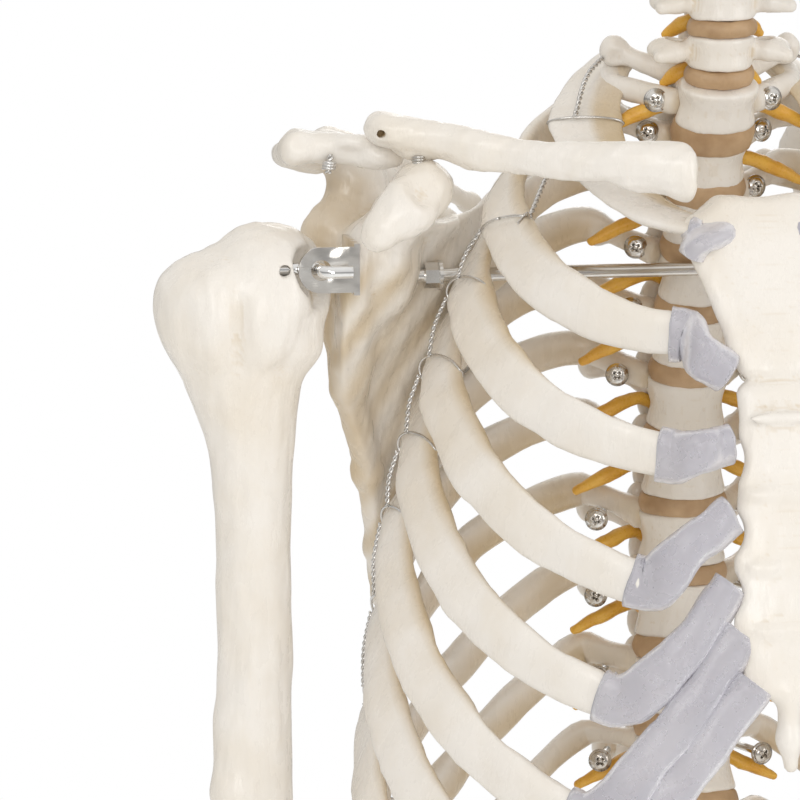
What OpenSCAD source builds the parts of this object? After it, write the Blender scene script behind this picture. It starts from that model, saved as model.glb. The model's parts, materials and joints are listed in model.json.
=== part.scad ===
// Life-size human skeleton model on a pelvic pole stand, millimetres.
// Z is up, the skeleton faces -Y and its right side is on -X. The origin is on the floor, under the pelvis.
// Each bone on the right is drawn once, and the left one is its mirror image.

/* [Stand] */
// Half of the width across the tips of the four base legs
base_reach_x = 262; // [250:1:280]
// Half of the depth across the tips of the four base legs
base_reach_y = 200; // [190:1:230]
// Width of the flat steel tube of a base leg
leg_w = 34; // [26:1:40]
// Height of the flat steel tube of a base leg
leg_h = 20; // [16:1:26]
// Radius of the upright pole
pole_r = 12.5; // [10:0.5:16]
// Radius of a rubber foot
pad_r = 17; // [14:1:20]
// Height of a rubber foot
pad_h = 8; // [6:1:12]

/* [Spine] */
// Height of the first rib's head
rib_top_z = 1505; // [1500:1:1510]
// Half of the width of a lumbar vertebral body
lumbar_w = 23; // [20:0.5:25]
// Half of the width of a neck vertebral body
cervical_w = 12; // [10:0.5:13]

/* [Ribs] */
// Half of the width of the widest ribs, at their middle line
cage_w = 127; // [124:1:129]
// Half of a rib's height
rib_half_h = 8.5; // [6:0.5:9]
// Lean of the ribs' outer faces towards the top at the sides, in degrees
rib_lean = 36; // [0:1:42]
// Half of a rib's thickness
rib_half_t = 3.5; // [3:0.25:4]

/* [Shoulder] */
// Distance of the humeral head's centre from the middle plane
shoulder_x = 161; // [160:0.5:164]
// Height of the humeral head's centre
shoulder_z = 1436; // [1434:0.5:1438]
// Radius of the humeral head
head_r = 22.5; // [21:0.5:23]
// Radius of the hook's wire
hook_r = 2.2; // [2:0.1:2.4]
// Radius of the hole in the bracket that the hook hangs in
hook_hole_r = 3.6; // [3.4:0.1:4]
// Radius of the rod that joins the two shoulder blades
blade_rod_r = 2.5; // [2:0.25:3]

/* [Arm] */
// Height of the elbow's hinge line
elbow_z = 1127; // [1122:1:1130]
// Radius of the humerus's roller at the elbow
elbow_r = 10; // [9:0.5:10.5]
// Height of the wrist's hinge line
wrist_z = 868; // [864:1:872]

/* [Leg] */
// Height of the hip joint's centre
hip_z = 952; // [950:1:956]
// Distance of the hip joint's centre from the middle plane
hip_x = 88; // [86:0.5:90]
// Radius of the femoral head
femoral_r = 23.5; // [22:0.5:24]
// Height of the knee's hinge line
knee_z = 538; // [534:1:542]
// Height of the ankle's hinge line
ankle_z = 140; // [138:1:142]

/* [Skull] */
// Height of the crown
crown_z = 1765; // [1755:1:1770]
// Thickness of the vault's wall
vault_t = 6; // [4:0.5:7]
// Height of the cut between the base and the cap
cut_z = 1712; // [1708:1:1718]

/* [Hidden] */

bone = "ivory";
steel = "silver";
gap = 0.5;
rib_count = 12;

// How far the neck, knee and ankle hinge lines lie behind the middle plane
neck_y = 4;
knee_y = 14;
ankle_y = 10;

// The bracket's hole, the hook's shank in the humeral head, and the hook's free leg in front
hook_hole = [-145.5, -18.5, 1443.5];
shank_y = -14;
hook_front_y = -25;
hook_bend = 3.5;
tongue_t = 2;
blade_rod_y = 16;
blade_rod_z = 1436;
bolt_r = 3;

// ---------- general shapes ----------

function unit(v) = v / norm(v);
function steps(n) = [for (i = [0:n - 1]) i / (n - 1)];
function mix(p, q, t) = p + (q - p) * t;

// One ring of a swept bar: a is the half width across the up direction, b the half width along it
function ring(c, t, up, a, b, sides) =
    let (u = unit(cross(t, up)), v = cross(t, u))
    [for (j = [0:sides - 1]) c + a * cos(360 * j / sides) * u + b * sin(360 * j / sides) * v];

// Triangles of a closed tube of rings, with a flat cap at each end
function tube_faces(rings, sides) = concat(
    [[for (j = [0:sides - 1]) j]],
    [[for (j = [sides - 1:-1:0]) (rings - 1) * sides + j]],
    [for (i = [0:rings - 2]) for (j = [0:sides - 1])
        [i * sides + j, (i + 1) * sides + j, (i + 1) * sides + (j + 1) % sides]],
    [for (i = [0:rings - 2]) for (j = [0:sides - 1])
        [i * sides + j, (i + 1) * sides + (j + 1) % sides, i * sides + (j + 1) % sides]]
);

// A swept bar: path holds [point, a, b] for each ring, or [point, a, b, up]
module bar(path, up = [0, -1, 0], sides = 8) {
    n = len(path);
    points = [for (i = [0:n - 1])
        let (t = unit(path[min(i + 1, n - 1)][0] - path[max(i - 1, 0)][0]),
             own_up = len(path[i]) > 3 ? path[i][3] : up)
        each ring(path[i][0], t, own_up, path[i][1], path[i][2], sides)];
    polyhedron(points = points, faces = tube_faces(n, sides), convexity = 6);
}

// A square-edged beam from p to q, w wide and t thick
module beam(p, q, w, t) {
    v = q - p;
    translate(p)
        rotate([0, acos(v.z / norm(v)), atan2(v.y, v.x)])
            translate([-t / 2, -w / 2, 0])
                cube([t, w, norm(v)]);
}

// A round rod from p to q
module rod(p, q, r, sides = 32) {
    v = q - p;
    translate(p)
        rotate([0, acos(v.z / norm(v)), atan2(v.y, v.x)])
            cylinder(r = r, h = norm(v), $fn = sides);
}

module ball(p, r) {
    translate(p) sphere(r = r, $fn = 6);
}

// A plate or lump that wraps the given [point, radius] pairs
module wrap(spots) {
    hull() for (s = spots) ball(s[0], s[1]);
}

module left_side() {
    mirror([1, 0, 0]) children();
}

module both_sides() {
    children();
    left_side() children();
}

// ---------- rib cage curves ----------

function rib_head_y(k) = lookup(k, [[1, 8], [2, 20], [4, 37], [6, 48], [8, 54], [9, 54], [12, 40]]);
function rib_head_z(k) = rib_top_z - 20.8 * (k - 1) - 0.46 * (k - 1) * (k - 2);
function rib_w(k) = cage_w * lookup(k, [[1, 0.37], [2, 0.61], [3, 0.71], [4, 0.79], [6, 0.92], [8, 1], [11, 0.97],
    [12, 0.82]]);
function rib_mid_y(k) = lookup(k, [[1, 0], [3, -7], [8, -8], [12, -13]]);
function rib_back(k) = lookup(k, [[1, 47], [3, 60], [5, 83], [7, 92], [8, 92], [12, 70]]);
function rib_front(k) = lookup(k, [[1, 62], [2, 77], [4, 101], [6, 112], [7, 112], [12, 90]]);
function rib_slope(k) = lookup(k, [[1, 0.55], [3, 0.61], [6, 0.79], [8, 0.81], [12, 0.62]]);
function rib_droop(k) = lookup(k, [[1, 0.22], [4, 0.16], [6, 0.21], [8, 0.34], [11, 0.61], [12, 0.6]]);
function rib_end(k) = lookup(k, [[1, 158], [3, 155], [7, 138], [10, 120], [12, 95]]);

// A rib lies in a plane that falls to the front and to the side
function rib_lift(k, x, y) =
    [x, y, rib_head_z(k) - (k == 1 ? 8 : 0) + rib_slope(k) * (y - rib_head_y(k)) - rib_droop(k) * (-x - 14)];

// The way up across a rib's face at angle a round the cage
function rib_up(k, a) =
    let (r = rib_lean * lookup(k, [[1, 0], [2, 1.15], [4, 1], [6, 0.9], [9, 0.5], [12, 0]])
             * lookup(a, [[arc_from, 0], [68, 1], [105, 1], [145, 0.2]]))
    [sin(r), 0, cos(r)];

// The rib's middle line: head, neck and tubercle, a blend, then an arc of an ellipse to the front
neck_steps = [[-14, 0], [-22, 7], [-31, 15]];
arc_from = 38;
function rib_arc(k, a) = [-rib_w(k) * sin(a), rib_mid_y(k) + (a < 90 ? rib_back(k) : rib_front(k)) * cos(a)];
function rib_blend(k, t) =
    let (p = [-31, rib_head_y(k) + 15], q = rib_arc(k, arc_from),
         m = 25 * unit([-1, 0.9]), n = 25 * unit(rib_arc(k, arc_from + 1) - q))
    (2 * t^3 - 3 * t^2 + 1) * p + (t^3 - 2 * t^2 + t) * m + (3 * t^2 - 2 * t^3) * q + (t^3 - t^2) * n;
function rib_line(k, arc_steps = 8) = [
    for (s = neck_steps) rib_lift(k, s.x, rib_head_y(k) + s.y),
    let (p = rib_blend(k, 0.5)) rib_lift(k, p.x, p.y),
    for (t = steps(arc_steps)) let (p = rib_arc(k, mix(arc_from, rib_end(k), t))) rib_lift(k, p.x, p.y)
];

// ---------- spine curves ----------

// Each vertebra is [y, z, tilt, half width, half depth, height], counted down from the top of its region
function thoracic(k) = [rib_head_y(k) - 6, rib_head_z(k) - 8, lookup(k, [[1, 26], [5, 14], [8, 2], [12, -13]]),
    lookup(k, [[1, 15], [4, 13.5], [12, 20]]), lookup(k, [[1, 9.5], [5, 12], [12, 15]]), 15.5 + 0.55 * k];
function lumbar(k) = [18 + 1.4 * (k - 4)^2, 1187 - 33.3 * (k - 1), 5 * (k - 4), lumbar_w, 16, 25];
function cervical(k) = [0.75 * (k - 4.5)^2 - 7, 1516 + 17.4 * (7 - k),
    k == 1 ? -4 : 4 * (k - 4.5), cervical_w, 8, 12];

module place(v) {
    translate([0, v[0], v[1]]) rotate([v[2], 0, 0]) children();
}

module oval_block(w, d, h, sides = 10) {
    translate([0, 0, -h / 2])
        linear_extrude(height = h)
            polygon([for (j = [0:sides - 1]) [w * cos(360 * j / sides), d * sin(360 * j / sides)]]);
}

// A vertebra: its body, two pedicles, two laminae, two transverse processes and the spine
module vertebra(v, wing, wing_back, spine_out, spine_down, canal) {
    w = v[3];
    d = v[4];
    arch_x = w * 0.55;
    arch_y = d + canal;
    place(v) {
        oval_block(w, d, v[5]);
        for (s = [-1, 1]) {
            beam([s * arch_x, d * 0.5, 2], [s * arch_x, arch_y, 1], 5, 9);
            beam([s * (arch_x + 2), arch_y - 3, 1], [0, arch_y + 6, -2], 6, 12);
            beam([s * arch_x, arch_y - 4, 1], [s * wing, arch_y - 4 + wing_back, 4], 7, 7);
        }
        beam([0, arch_y + 2, -2], [0, arch_y + spine_out, -spine_down], 5, 10);
    }
}

// ---------- stand ----------

hub_r = 34;
hub_z = pad_h + leg_h + 20;
pole_y = 20;
pole_top_z = 1000;

end_r = leg_w / 2 + 2;
end_x = base_reach_x - end_r;
end_y = base_reach_y - end_r;

module at_leg_ends(z) {
    for (sx = [-1, 1]) for (sy = [-1, 1]) translate([sx * end_x, sy * end_y, z]) children();
}

module stand_base() color("dimgray") difference() {
    union() {
        for (sx = [-1, 1]) for (sy = [-1, 1])
            beam([0, pole_y * 0.5, pad_h + leg_h / 2], [sx * end_x, sy * end_y, pad_h + leg_h / 2], leg_w, leg_h);
        at_leg_ends(pad_h - 0.5) cylinder(r = end_r, h = leg_h + 1, $fn = 48);
        translate([0, pole_y, pad_h - 0.5]) cylinder(r = hub_r, h = hub_z - pad_h, $fn = 48);
    }
    translate([0, pole_y, pad_h + 4]) cylinder(r = pole_r, h = hub_z, $fn = 48);
}

module base_feet() color("black") at_leg_ends(0) cylinder(r = pad_r, h = pad_h - 0.5, $fn = 48);

module stand_pole() color(steel) {
    translate([0, pole_y, pad_h + 4]) cylinder(r = pole_r, h = pole_top_z - pad_h - 4, $fn = 48);
}

// The pole ends in a collar, whose plate is bolted to the front of the sacrum
collar_z = 955;
plate_y = 41;
module pole_bracket() color("dimgray") {
    difference() {
        union() {
            translate([0, pole_y, collar_z]) cylinder(r = pole_r + 5, h = 52, $fn = 48);
            translate([-13, pole_y + pole_r, collar_z + 4]) cube([26, plate_y - pole_y - pole_r, 44]);
        }
        translate([0, pole_y, collar_z - 1]) cylinder(r = pole_r, h = pole_top_z - collar_z + 1, $fn = 48);
    }
    for (z = [collar_z + 14, collar_z + 38])
        rod([0, plate_y - 1, z], [0, plate_y + 34, z], bolt_r);
}

// ---------- pelvis ----------

module sacrum() color(bone) {
    bar([
        [[0, 30, 1036], 27, 17], [[0, 42, 1015], 52, 17], [[0, 56, 990], 44, 14],
        [[0, 68, 960], 30, 10], [[0, 70, 930], 15, 7], [[0, 60, 905], 7, 5], [[0, 52, 893], 3, 3]
    ], sides = 10);
    for (k = [0:3]) beam([0, 58 + 6 * k, 1020 - 20 * k], [0, 70 + 5 * k, 1014 - 20 * k], 6, 12);
}

acetabulum_r = femoral_r + 2;
module hip_bone() color(bone) difference() {
    union() {
        wrap([[[-117, -62, 1034], 5], [[-98, -18, 992], 6], [[-135, -25, 1066], 4.5], [[-121, -8, 1020], 3]]);
        wrap([[[-98, -18, 992], 6], [[-135, -25, 1066], 4.5], [[-133, 15, 1078], 5], [[-100, 22, 990], 6]]);
        wrap([[[-133, 15, 1078], 5], [[-105, 55, 1066], 5], [[-100, 22, 990], 6], [[-80, 48, 1005], 5]]);
        wrap([[[-105, 55, 1066], 5], [[-62, 82, 1040], 6], [[-80, 48, 1005], 5], [[-66, 66, 1000], 6]]);
        wrap([[[-66, 66, 1000], 6], [[-80, 48, 1005], 6], [[-88, 30, 965], 8], [[-78, 44, 975], 5]]);
        wrap([[[-94, -20, 968], 12], [[-94, 22, 968], 12], [[-90, 0, 990], 14], [[-86, 18, 932], 12]]);
        wrap([[[-82, 0, 952], 32], [[-80, -8, 952], 30]]);
        wrap([[[-86, 24, 935], 11], [[-76, 42, 892], 12]]);
        wrap([[[-76, 42, 892], 12], [[-66, 22, 880], 9]]);
        wrap([[[-66, 22, 880], 9], [[-32, -28, 902], 6]]);
        wrap([[[-32, -28, 902], 6], [[-15, -52, 925], 8]]);
        wrap([[[-15, -52, 925], 8], [[-15, -54, 945], 8], [[-34, -50, 950], 7]]);
        wrap([[[-34, -50, 950], 7], [[-76, -26, 962], 10]]);
    }
    translate([-hip_x, 0, hip_z]) sphere(r = acetabulum_r, $fn = 24);
    translate([-hip_x - 60, 0, hip_z]) rotate([0, 90, 0]) cylinder(r = acetabulum_r + 9, h = 56, $fn = 24);
    rod([-hip_x, 0, hip_z], [-40, 0, hip_z], bolt_r, 16);
}

module pubic_symphysis() color("lightgray") wrap([
    [[-5, -54, 947], 6], [[5, -54, 947], 6], [[-5, -51, 924], 6], [[5, -51, 924], 6]
]);

module hip_bolts() color(steel) both_sides() {
    rod([-hip_x + 6, 0, hip_z], [-46, 0, hip_z], bolt_r);
    translate([-50, 0, hip_z]) rotate([0, 90, 0]) cylinder(r = 6, h = 5, $fn = 6);
}

// ---------- spine ----------

module lumbar_vertebrae() color(bone) for (k = [1:5])
    vertebra(lumbar(k), wing = 40, wing_back = 4, spine_out = 34, spine_down = 4, canal = 12);

module thoracic_vertebrae() color(bone) for (k = [1:rib_count])
    vertebra(thoracic(k), wing = lookup(k, [[1, 36], [10, 30], [12, 22]]), wing_back = 16,
        spine_out = 30, spine_down = lookup(k, [[1, 10], [4, 24], [9, 24], [12, 8]]), canal = 9);

module cervical_vertebrae() color(bone) {
    for (k = [2:7])
        vertebra(cervical(k), wing = 24, wing_back = -6, spine_out = lookup(k, [[2, 18], [5, 14], [7, 28]]),
            spine_down = 6, canal = 9);
    place(cervical(1)) difference() {
        oval_block(25, 20, 9);
        translate([0, 2, 0]) oval_block(15, 14, 20);
    }
    for (s = [-1, 1]) beam([s * 20, 0, 1620.4], [s * 36, 6, 1620.4], 9, 7);
    place(cervical(2)) oval_block(5, 5, 34, 8);
}

// A disc fills the gap between the vertebra above and the one below
module disc(v_top, v_low) {
    w = min(v_top[3], v_low[3]) - 0.5;
    d = min(v_top[4], v_low[4]) - 0.5;
    top = [0, v_top[0], v_top[1] - v_top[5] / 2];
    low = [0, v_low[0], v_low[1] + v_low[5] / 2];
    translate(mix(top, low, 0.5))
        rotate([(v_top[2] + v_low[2]) / 2, 0, 0])
            oval_block(w, d, max(norm(top - low) - 1, 3), 8);
}

module intervertebral_discs() color("tan") {
    for (k = [2:6]) disc(cervical(k), cervical(k + 1));
    disc(cervical(7), thoracic(1));
    for (k = [1:11]) disc(thoracic(k), thoracic(k + 1));
    disc(thoracic(12), lumbar(1));
    for (k = [1:4]) disc(lumbar(k), lumbar(k + 1));
}

// A spinal nerve leaves between two vertebrae on each side
module nerve(v, reach) {
    root = [-v[3] * 0.45, v[0] + v[4] + 3, v[1] - v[5] * 0.5];
    tip = root + [-reach, 5, -reach * 0.45];
    rod(root, tip, 2.4, 6);
}

module spinal_nerves() color("goldenrod") both_sides() {
    for (k = [3:7]) nerve(cervical(k), 12);
    for (k = [1:rib_count]) nerve(thoracic(k), 24);
    for (k = [1:5]) nerve(lumbar(k), 20);
}

// ---------- rib cage ----------

// The first rib lies flat, so that its height and its thickness change places
module rib(k) {
    line = rib_line(k);
    n = len(line);
    bar([for (i = [0:n - 1])
        let (neck = i < 3,
             flat = neck ? 4.5 : (k == 1 ? mix(8, 12.5, min(1, (i - 3) / 4)) : rib_half_h * (k > 10 ? 0.75 : 1)),
             thin = neck ? 4 : (k == 1 ? 3 : rib_half_t),
             w = k == 12 && i > n - 4 ? 0.7 : 1,
             a = i < n - 8 ? 0 : mix(arc_from, rib_end(k), (i - n + 8) / 7))
        [line[i], k == 1 ? flat : thin * w, k == 1 ? thin : flat * w, rib_up(k, a)]
    ], sides = 6);
}

module ribs() {
    for (k = [1:rib_count]) rib(k);
}

module right_ribs() color(bone) ribs();
module left_ribs() color(bone) left_side() ribs();

module sternum() color(bone) bar([
    [[0, -58, 1470], 22, 4], [[0, -64, 1458], 27, 6], [[0, -78, 1425], 17, 5.5], [[0, -82, 1414], 16, 5],
    [[0, -100, 1360], 19, 5], [[0, -106, 1318], 16, 5], [[0, -107, 1306], 7, 3.5], [[0, -106, 1282], 5, 2.5]
], sides = 8);

// Where each cartilage meets the breastbone, or the cartilage above it
function rib_tip(k) = let (l = rib_line(k)) l[len(l) - 1];
function cartilage_end(k) =
    k == 1 ? [-25, -66, 1452] :
    k <= 7 ? [lookup(k, [[2, -17], [5, -19], [7, -12]]), lookup(k, [[2, -82], [4, -98], [7, -107]]),
              lookup(k, [[2, 1414], [5, 1345], [7, 1312]])] :
    mix(rib_tip(k - 1), cartilage_mid(k - 1), 0.75);
function cartilage_mid(k) = mix(rib_tip(k), cartilage_end(k), 0.5) + [-2, -5, k > 4 ? -8 : 0];

module cartilage(k) {
    p = rib_tip(k);
    m = cartilage_mid(k);
    e = cartilage_end(k);
    r = k > 7 ? 5 : rib_half_h - 0.5;
    bar([[p, rib_half_t, k == 1 ? 5 : r], [m, 4, r], [e, 3.5, r - 1]], up = [0, 0, 1], sides = 6);
}

module costal_cartilages() color("lightsteelblue") both_sides() for (k = [1:10]) cartilage(k);

// A pan-head screw holds each rib's neck to its vertebra
module rib_screws() color(steel) both_sides() for (k = [1:rib_count]) {
    at = rib_lift(k, lookup(k, [[5, -21], [6, -25], [7, -28], [8, -31]]), rib_head_y(k) + 4.5);
    rod(at + [0, -5.5, 0], at + [6, 10, 0], 1.5);
    rod(at + [-1, -8, 0], at + [0, -5.5, 0], 3.5);
}

// The twisted wire runs down the side of the cage and loops round each rib
wire_r = 0.9;
wire_turn = [[1, 80.5], [2, 92], [3, 84.5], [4, 83.5], [5, 80], [6, 74.5], [10, 66]];
function wire_spot(k) =
    let (a = lookup(k, wire_turn), p = rib_arc(k, a), q = rib_lift(k, p.x, p.y))
    let (up = rib_up(k, a), out = rib_half_t + wire_r + (k == 1 ? 8 : 1))
    q + [-out * up.z, 0, out * up.x + (k == 1 ? 2 : 0)];
module rib_wires() color(steel) both_sides()
    bar([for (k = [1:10]) [wire_spot(k), wire_r, wire_r]], sides = 6);

// ---------- shoulder girdle ----------

module scapula() color(bone) {
    // the blade, from its upper to its lower angle
    wrap([[[-47, 76, 1482], 3], [[-74, 46, 1466], 2.5], [[-56, 78, 1440], 2.5], [[-82, 44, 1440], 2]]);
    wrap([[[-74, 46, 1466], 2.5], [[-98, 18, 1458], 3], [[-82, 44, 1440], 2.5], [[-108, 18, 1432], 4]]);
    wrap([[[-56, 78, 1440], 2.5], [[-82, 46, 1440], 2.5], [[-74, 78, 1378], 2.5], [[-100, 44, 1380], 2]]);
    wrap([[[-82, 46, 1440], 2.5], [[-108, 18, 1432], 4], [[-100, 44, 1380], 2.5], [[-129, 22, 1391], 4]]);
    wrap([[[-74, 78, 1378], 2.5], [[-100, 44, 1380], 2.5], [[-108, 62, 1314], 4], [[-118, 40, 1355], 3]]);
    // the thick side border and the neck
    wrap([[[-126, 12, 1418], 6], [[-128, 24, 1388], 4]]);
    wrap([[[-128, 24, 1388], 4], [[-110, 58, 1310], 4]]);
    wrap([[[-108, 18, 1445], 8], [[-126, 8, 1440], 9]]);
    // the shallow socket
    wrap([[[-129, 7, 1455], 4], [[-129, 8, 1424], 5], [[-129, -2, 1438], 4], [[-129, 16, 1436], 4]]);
    // the ridge behind the blade and the flat tip over the joint
    wrap([[[-58, 80, 1444], 2.5], [[-100, 48, 1468], 3], [[-88, 34, 1452], 3]]);
    wrap([[[-100, 48, 1468], 4], [[-134, 34, 1482], 5]]);
    wrap([[[-134, 34, 1483], 4.5], [[-153, 14, 1482], 4.5], [[-142, 2, 1484], 3], [[-122, -2, 1483], 3.5]]);
    // the beak-like process in front
    wrap([[[-108, 16, 1447], 8], [[-110, 6, 1458], 8]]);
    wrap([[[-110, 6, 1458], 7], [[-106, -16, 1473], 6]]);
    wrap([[[-106, -16, 1473], 6], [[-117, -32, 1463], 6]]);
}

module clavicle() color(bone) bar([
    [[-133, -13, 1493], 3, 5], [[-128, -13, 1493], 5, 9], [[-110, -19, 1490], 5.5, 8],
    [[-90, -31, 1486], 5.5, 6.5], [[-66, -46, 1484], 6, 6], [[-42, -60, 1482], 6.5, 6.5],
    [[-26, -64, 1478], 9, 9], [[-22, -64, 1477], 6, 6]
], up = [0, -1, 0], sides = 8);

module scapula_rod() color(steel) {
    rod([-109, blade_rod_y, blade_rod_z], [109, blade_rod_y, blade_rod_z], blade_rod_r);
    both_sides() {
        translate([-103, blade_rod_y, blade_rod_z]) rotate([0, 90, 0]) cylinder(r = 4.6, h = 5, $fn = 6);
        rod([-98, blade_rod_y, blade_rod_z], [-96.8, blade_rod_y, blade_rod_z], 5.4);
    }
}

// An angle bracket on the socket: a flange across it, and a tongue with the hole that the hook hangs in
flange_x = -134;
module shoulder_bracket() difference() {
    union() {
        translate([flange_x, hook_hole.y - tongue_t / 2, hook_hole.z - 9]) cube([tongue_t, 27, 18]);
        translate([hook_hole.x, hook_hole.y - tongue_t / 2, hook_hole.z - 8])
            cube([flange_x - hook_hole.x + 1, tongue_t, 16]);
        translate([hook_hole.x, hook_hole.y + tongue_t / 2, hook_hole.z])
            rotate([90, 0, 0]) cylinder(r = 8, h = tongue_t, $fn = 48);
    }
    translate([hook_hole.x, hook_hole.y + 4, hook_hole.z]) rotate([90, 0, 0]) cylinder(r = hook_hole_r, h = 8, $fn = 32);
}

module shoulder_brackets() color(steel) both_sides() {
    shoulder_bracket();
    rod([flange_x + tongue_t, 1, hook_hole.z], [flange_x + 16, 4, hook_hole.z], 1.8);
}

module clavicle_wires() color(steel) both_sides() {
    rod([-137, -6, 1474], [-137, -9, 1488], 1.6, 12);
    rod([-112, -20, 1474], [-112, -20, 1488], 1.4, 12);
}

// ---------- skull ----------

vault_c = [0, 8, crown_z - 68];
vault_half = [71, 88, 68];
function vault_ring(lat, grow, sides) = [for (j = [0:sides - 1]) let (a = 360 * j / sides)
    vault_c + [(vault_half.x + grow) * cos(lat) * cos(a), (vault_half.y + grow) * cos(lat) * sin(a),
               (vault_half.z + grow) * sin(lat)]];
function vault_lat(z, grow) = asin((z - vault_c.z) / (vault_half.z + grow));

// Rings that run up the outside and back down the inside, with no caps where the shell has a hole
function shell_faces(rings, sides) = [for (i = [0:rings - 1]) for (j = [0:sides - 1])
    let (a = i * sides + j, b = i * sides + (j + 1) % sides,
         c = ((i + 1) % rings) * sides + j, d = ((i + 1) % rings) * sides + (j + 1) % sides)
    each [[a, c, d], [a, d, b]]];

module vault_bowl(sides = 16) {
    outer = [for (t = steps(5)) vault_ring(mix(-74, vault_lat(cut_z, 0), t), 0, sides)];
    inner = [for (t = steps(4)) vault_ring(mix(vault_lat(cut_z, -vault_t), -74, t), -vault_t, sides)];
    polyhedron(points = [for (r = concat(outer, inner)) each r], faces = shell_faces(9, sides), convexity = 6);
}

module vault_cap(sides = 16) {
    rim_z = cut_z + gap;
    outer = [for (t = steps(4)) vault_ring(mix(vault_lat(rim_z, 0), 84, t), 0, sides)];
    inner = [for (t = steps(4)) vault_ring(mix(84, vault_lat(rim_z, -vault_t), t), -vault_t, sides)];
    n = len(outer);
    points = [for (r = concat(outer, inner)) each r];
    crown = len(points);
    faces = [
        for (i = [0:2 * n - 1]) if (i != n - 1) for (j = [0:sides - 1])
            let (a = i * sides + j, b = i * sides + (j + 1) % sides,
                 c = ((i + 1) % (2 * n)) * sides + j, d = ((i + 1) % (2 * n)) * sides + (j + 1) % sides)
            each [[a, c, d], [a, d, b]],
        for (j = [0:sides - 1]) [(n - 1) * sides + j, crown, (n - 1) * sides + (j + 1) % sides],
        for (j = [0:sides - 1]) [n * sides + j, n * sides + (j + 1) % sides, crown + 1]
    ];
    top = [vault_c + [0, 0, vault_half.z], vault_c + [0, 0, vault_half.z - vault_t]];
    polyhedron(points = concat(points, top), faces = faces, convexity = 6);
}

post_r = 5;
post_low_z = 1596;
post_top_z = 1650;
module neck_post() color(steel) {
    translate([0, neck_y, post_low_z]) cylinder(r = post_r, h = post_top_z - post_low_z, $fn = 48);
}

module skull_base() color(bone) {
    vault_bowl();
    both_sides() {
        wrap([[[-26, -62, 1614], 7], [[-6, -84, 1610], 7], [[-30, -60, 1650], 6], [[-8, -78, 1648], 6]]);
        wrap([[[-12, -76, 1690], 6], [[-48, -58, 1690], 6]]);
        wrap([[[-50, -56, 1690], 5], [[-52, -54, 1662], 5]]);
        wrap([[[-52, -54, 1660], 5], [[-48, -60, 1640], 6], [[-30, -64, 1640], 6]]);
        wrap([[[-52, -50, 1648], 4.5], [[-64, -20, 1648], 3.5]]);
        wrap([[[-64, -20, 1648], 3.5], [[-61, 8, 1652], 4.5]]);
        wrap([[[-54, 30, 1650], 8], [[-51, 30, 1618], 6]]);
        wrap([[[-20, -10, 1638], 6], [[-20, -56, 1640], 8], [[-6, -56, 1624], 6], [[-34, -30, 1650], 7]]);
    }
    wrap([[[0, -76, 1690], 7], [[0, -84, 1662], 4], [[0, -72, 1652], 6]]);
    // the ring round the opening that the neck post enters, with a seat for the post
    difference() {
        translate([0, neck_y, 1632]) cylinder(r = 19, h = 10, $fn = 24);
        translate([0, neck_y, 1620]) cylinder(r = post_r + gap, h = 40, $fn = 24);
    }
}

module skull_cap() color(bone) vault_cap();

module mandible() color(bone) both_sides() {
    wrap([[[-50, -4, 1638], 4.5], [[-47, -16, 1600], 5], [[-47, -24, 1600], 4]]);
    wrap([[[-46, -28, 1634], 3.5], [[-47, -16, 1605], 4], [[-47, -28, 1600], 4]]);
    wrap([[[-47, -14, 1602], 4], [[-45, -18, 1578], 5], [[-44, -36, 1592], 5], [[-44, -36, 1574], 5]]);
    wrap([[[-44, -36, 1592], 5], [[-44, -36, 1574], 5], [[-26, -74, 1592], 5], [[-27, -72, 1566], 6]]);
    wrap([[[-26, -74, 1592], 5], [[-27, -72, 1566], 6], [[0, -86, 1592], 5], [[0, -86, 1560], 7]]);
}

module jaw_springs() color(steel) both_sides()
    rod([-56.5, -14, 1604], [-56.5, -14, 1642], 2.2, 16);

// ---------- arm ----------

module shoulder_hook() color(steel) {
    rod([-168, shank_y, hook_hole.z], [hook_hole.x - hook_bend, shank_y, hook_hole.z], hook_r);
    translate([hook_hole.x - hook_bend, shank_y - hook_bend, hook_hole.z])
        rotate_extrude(angle = 90, $fn = 48) translate([hook_bend, 0]) circle(r = hook_r, $fn = 32);
    rod([hook_hole.x, shank_y - hook_bend, hook_hole.z], [hook_hole.x, hook_front_y + hook_bend, hook_hole.z], hook_r);
    translate([hook_hole.x + hook_bend, hook_front_y + hook_bend, hook_hole.z])
        rotate([0, 0, 180]) rotate_extrude(angle = 90, $fn = 48) translate([hook_bend, 0]) circle(r = hook_r, $fn = 32);
    rod([hook_hole.x + hook_bend, hook_front_y, hook_hole.z], [hook_hole.x + 10, hook_front_y, hook_hole.z], hook_r);
}

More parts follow.
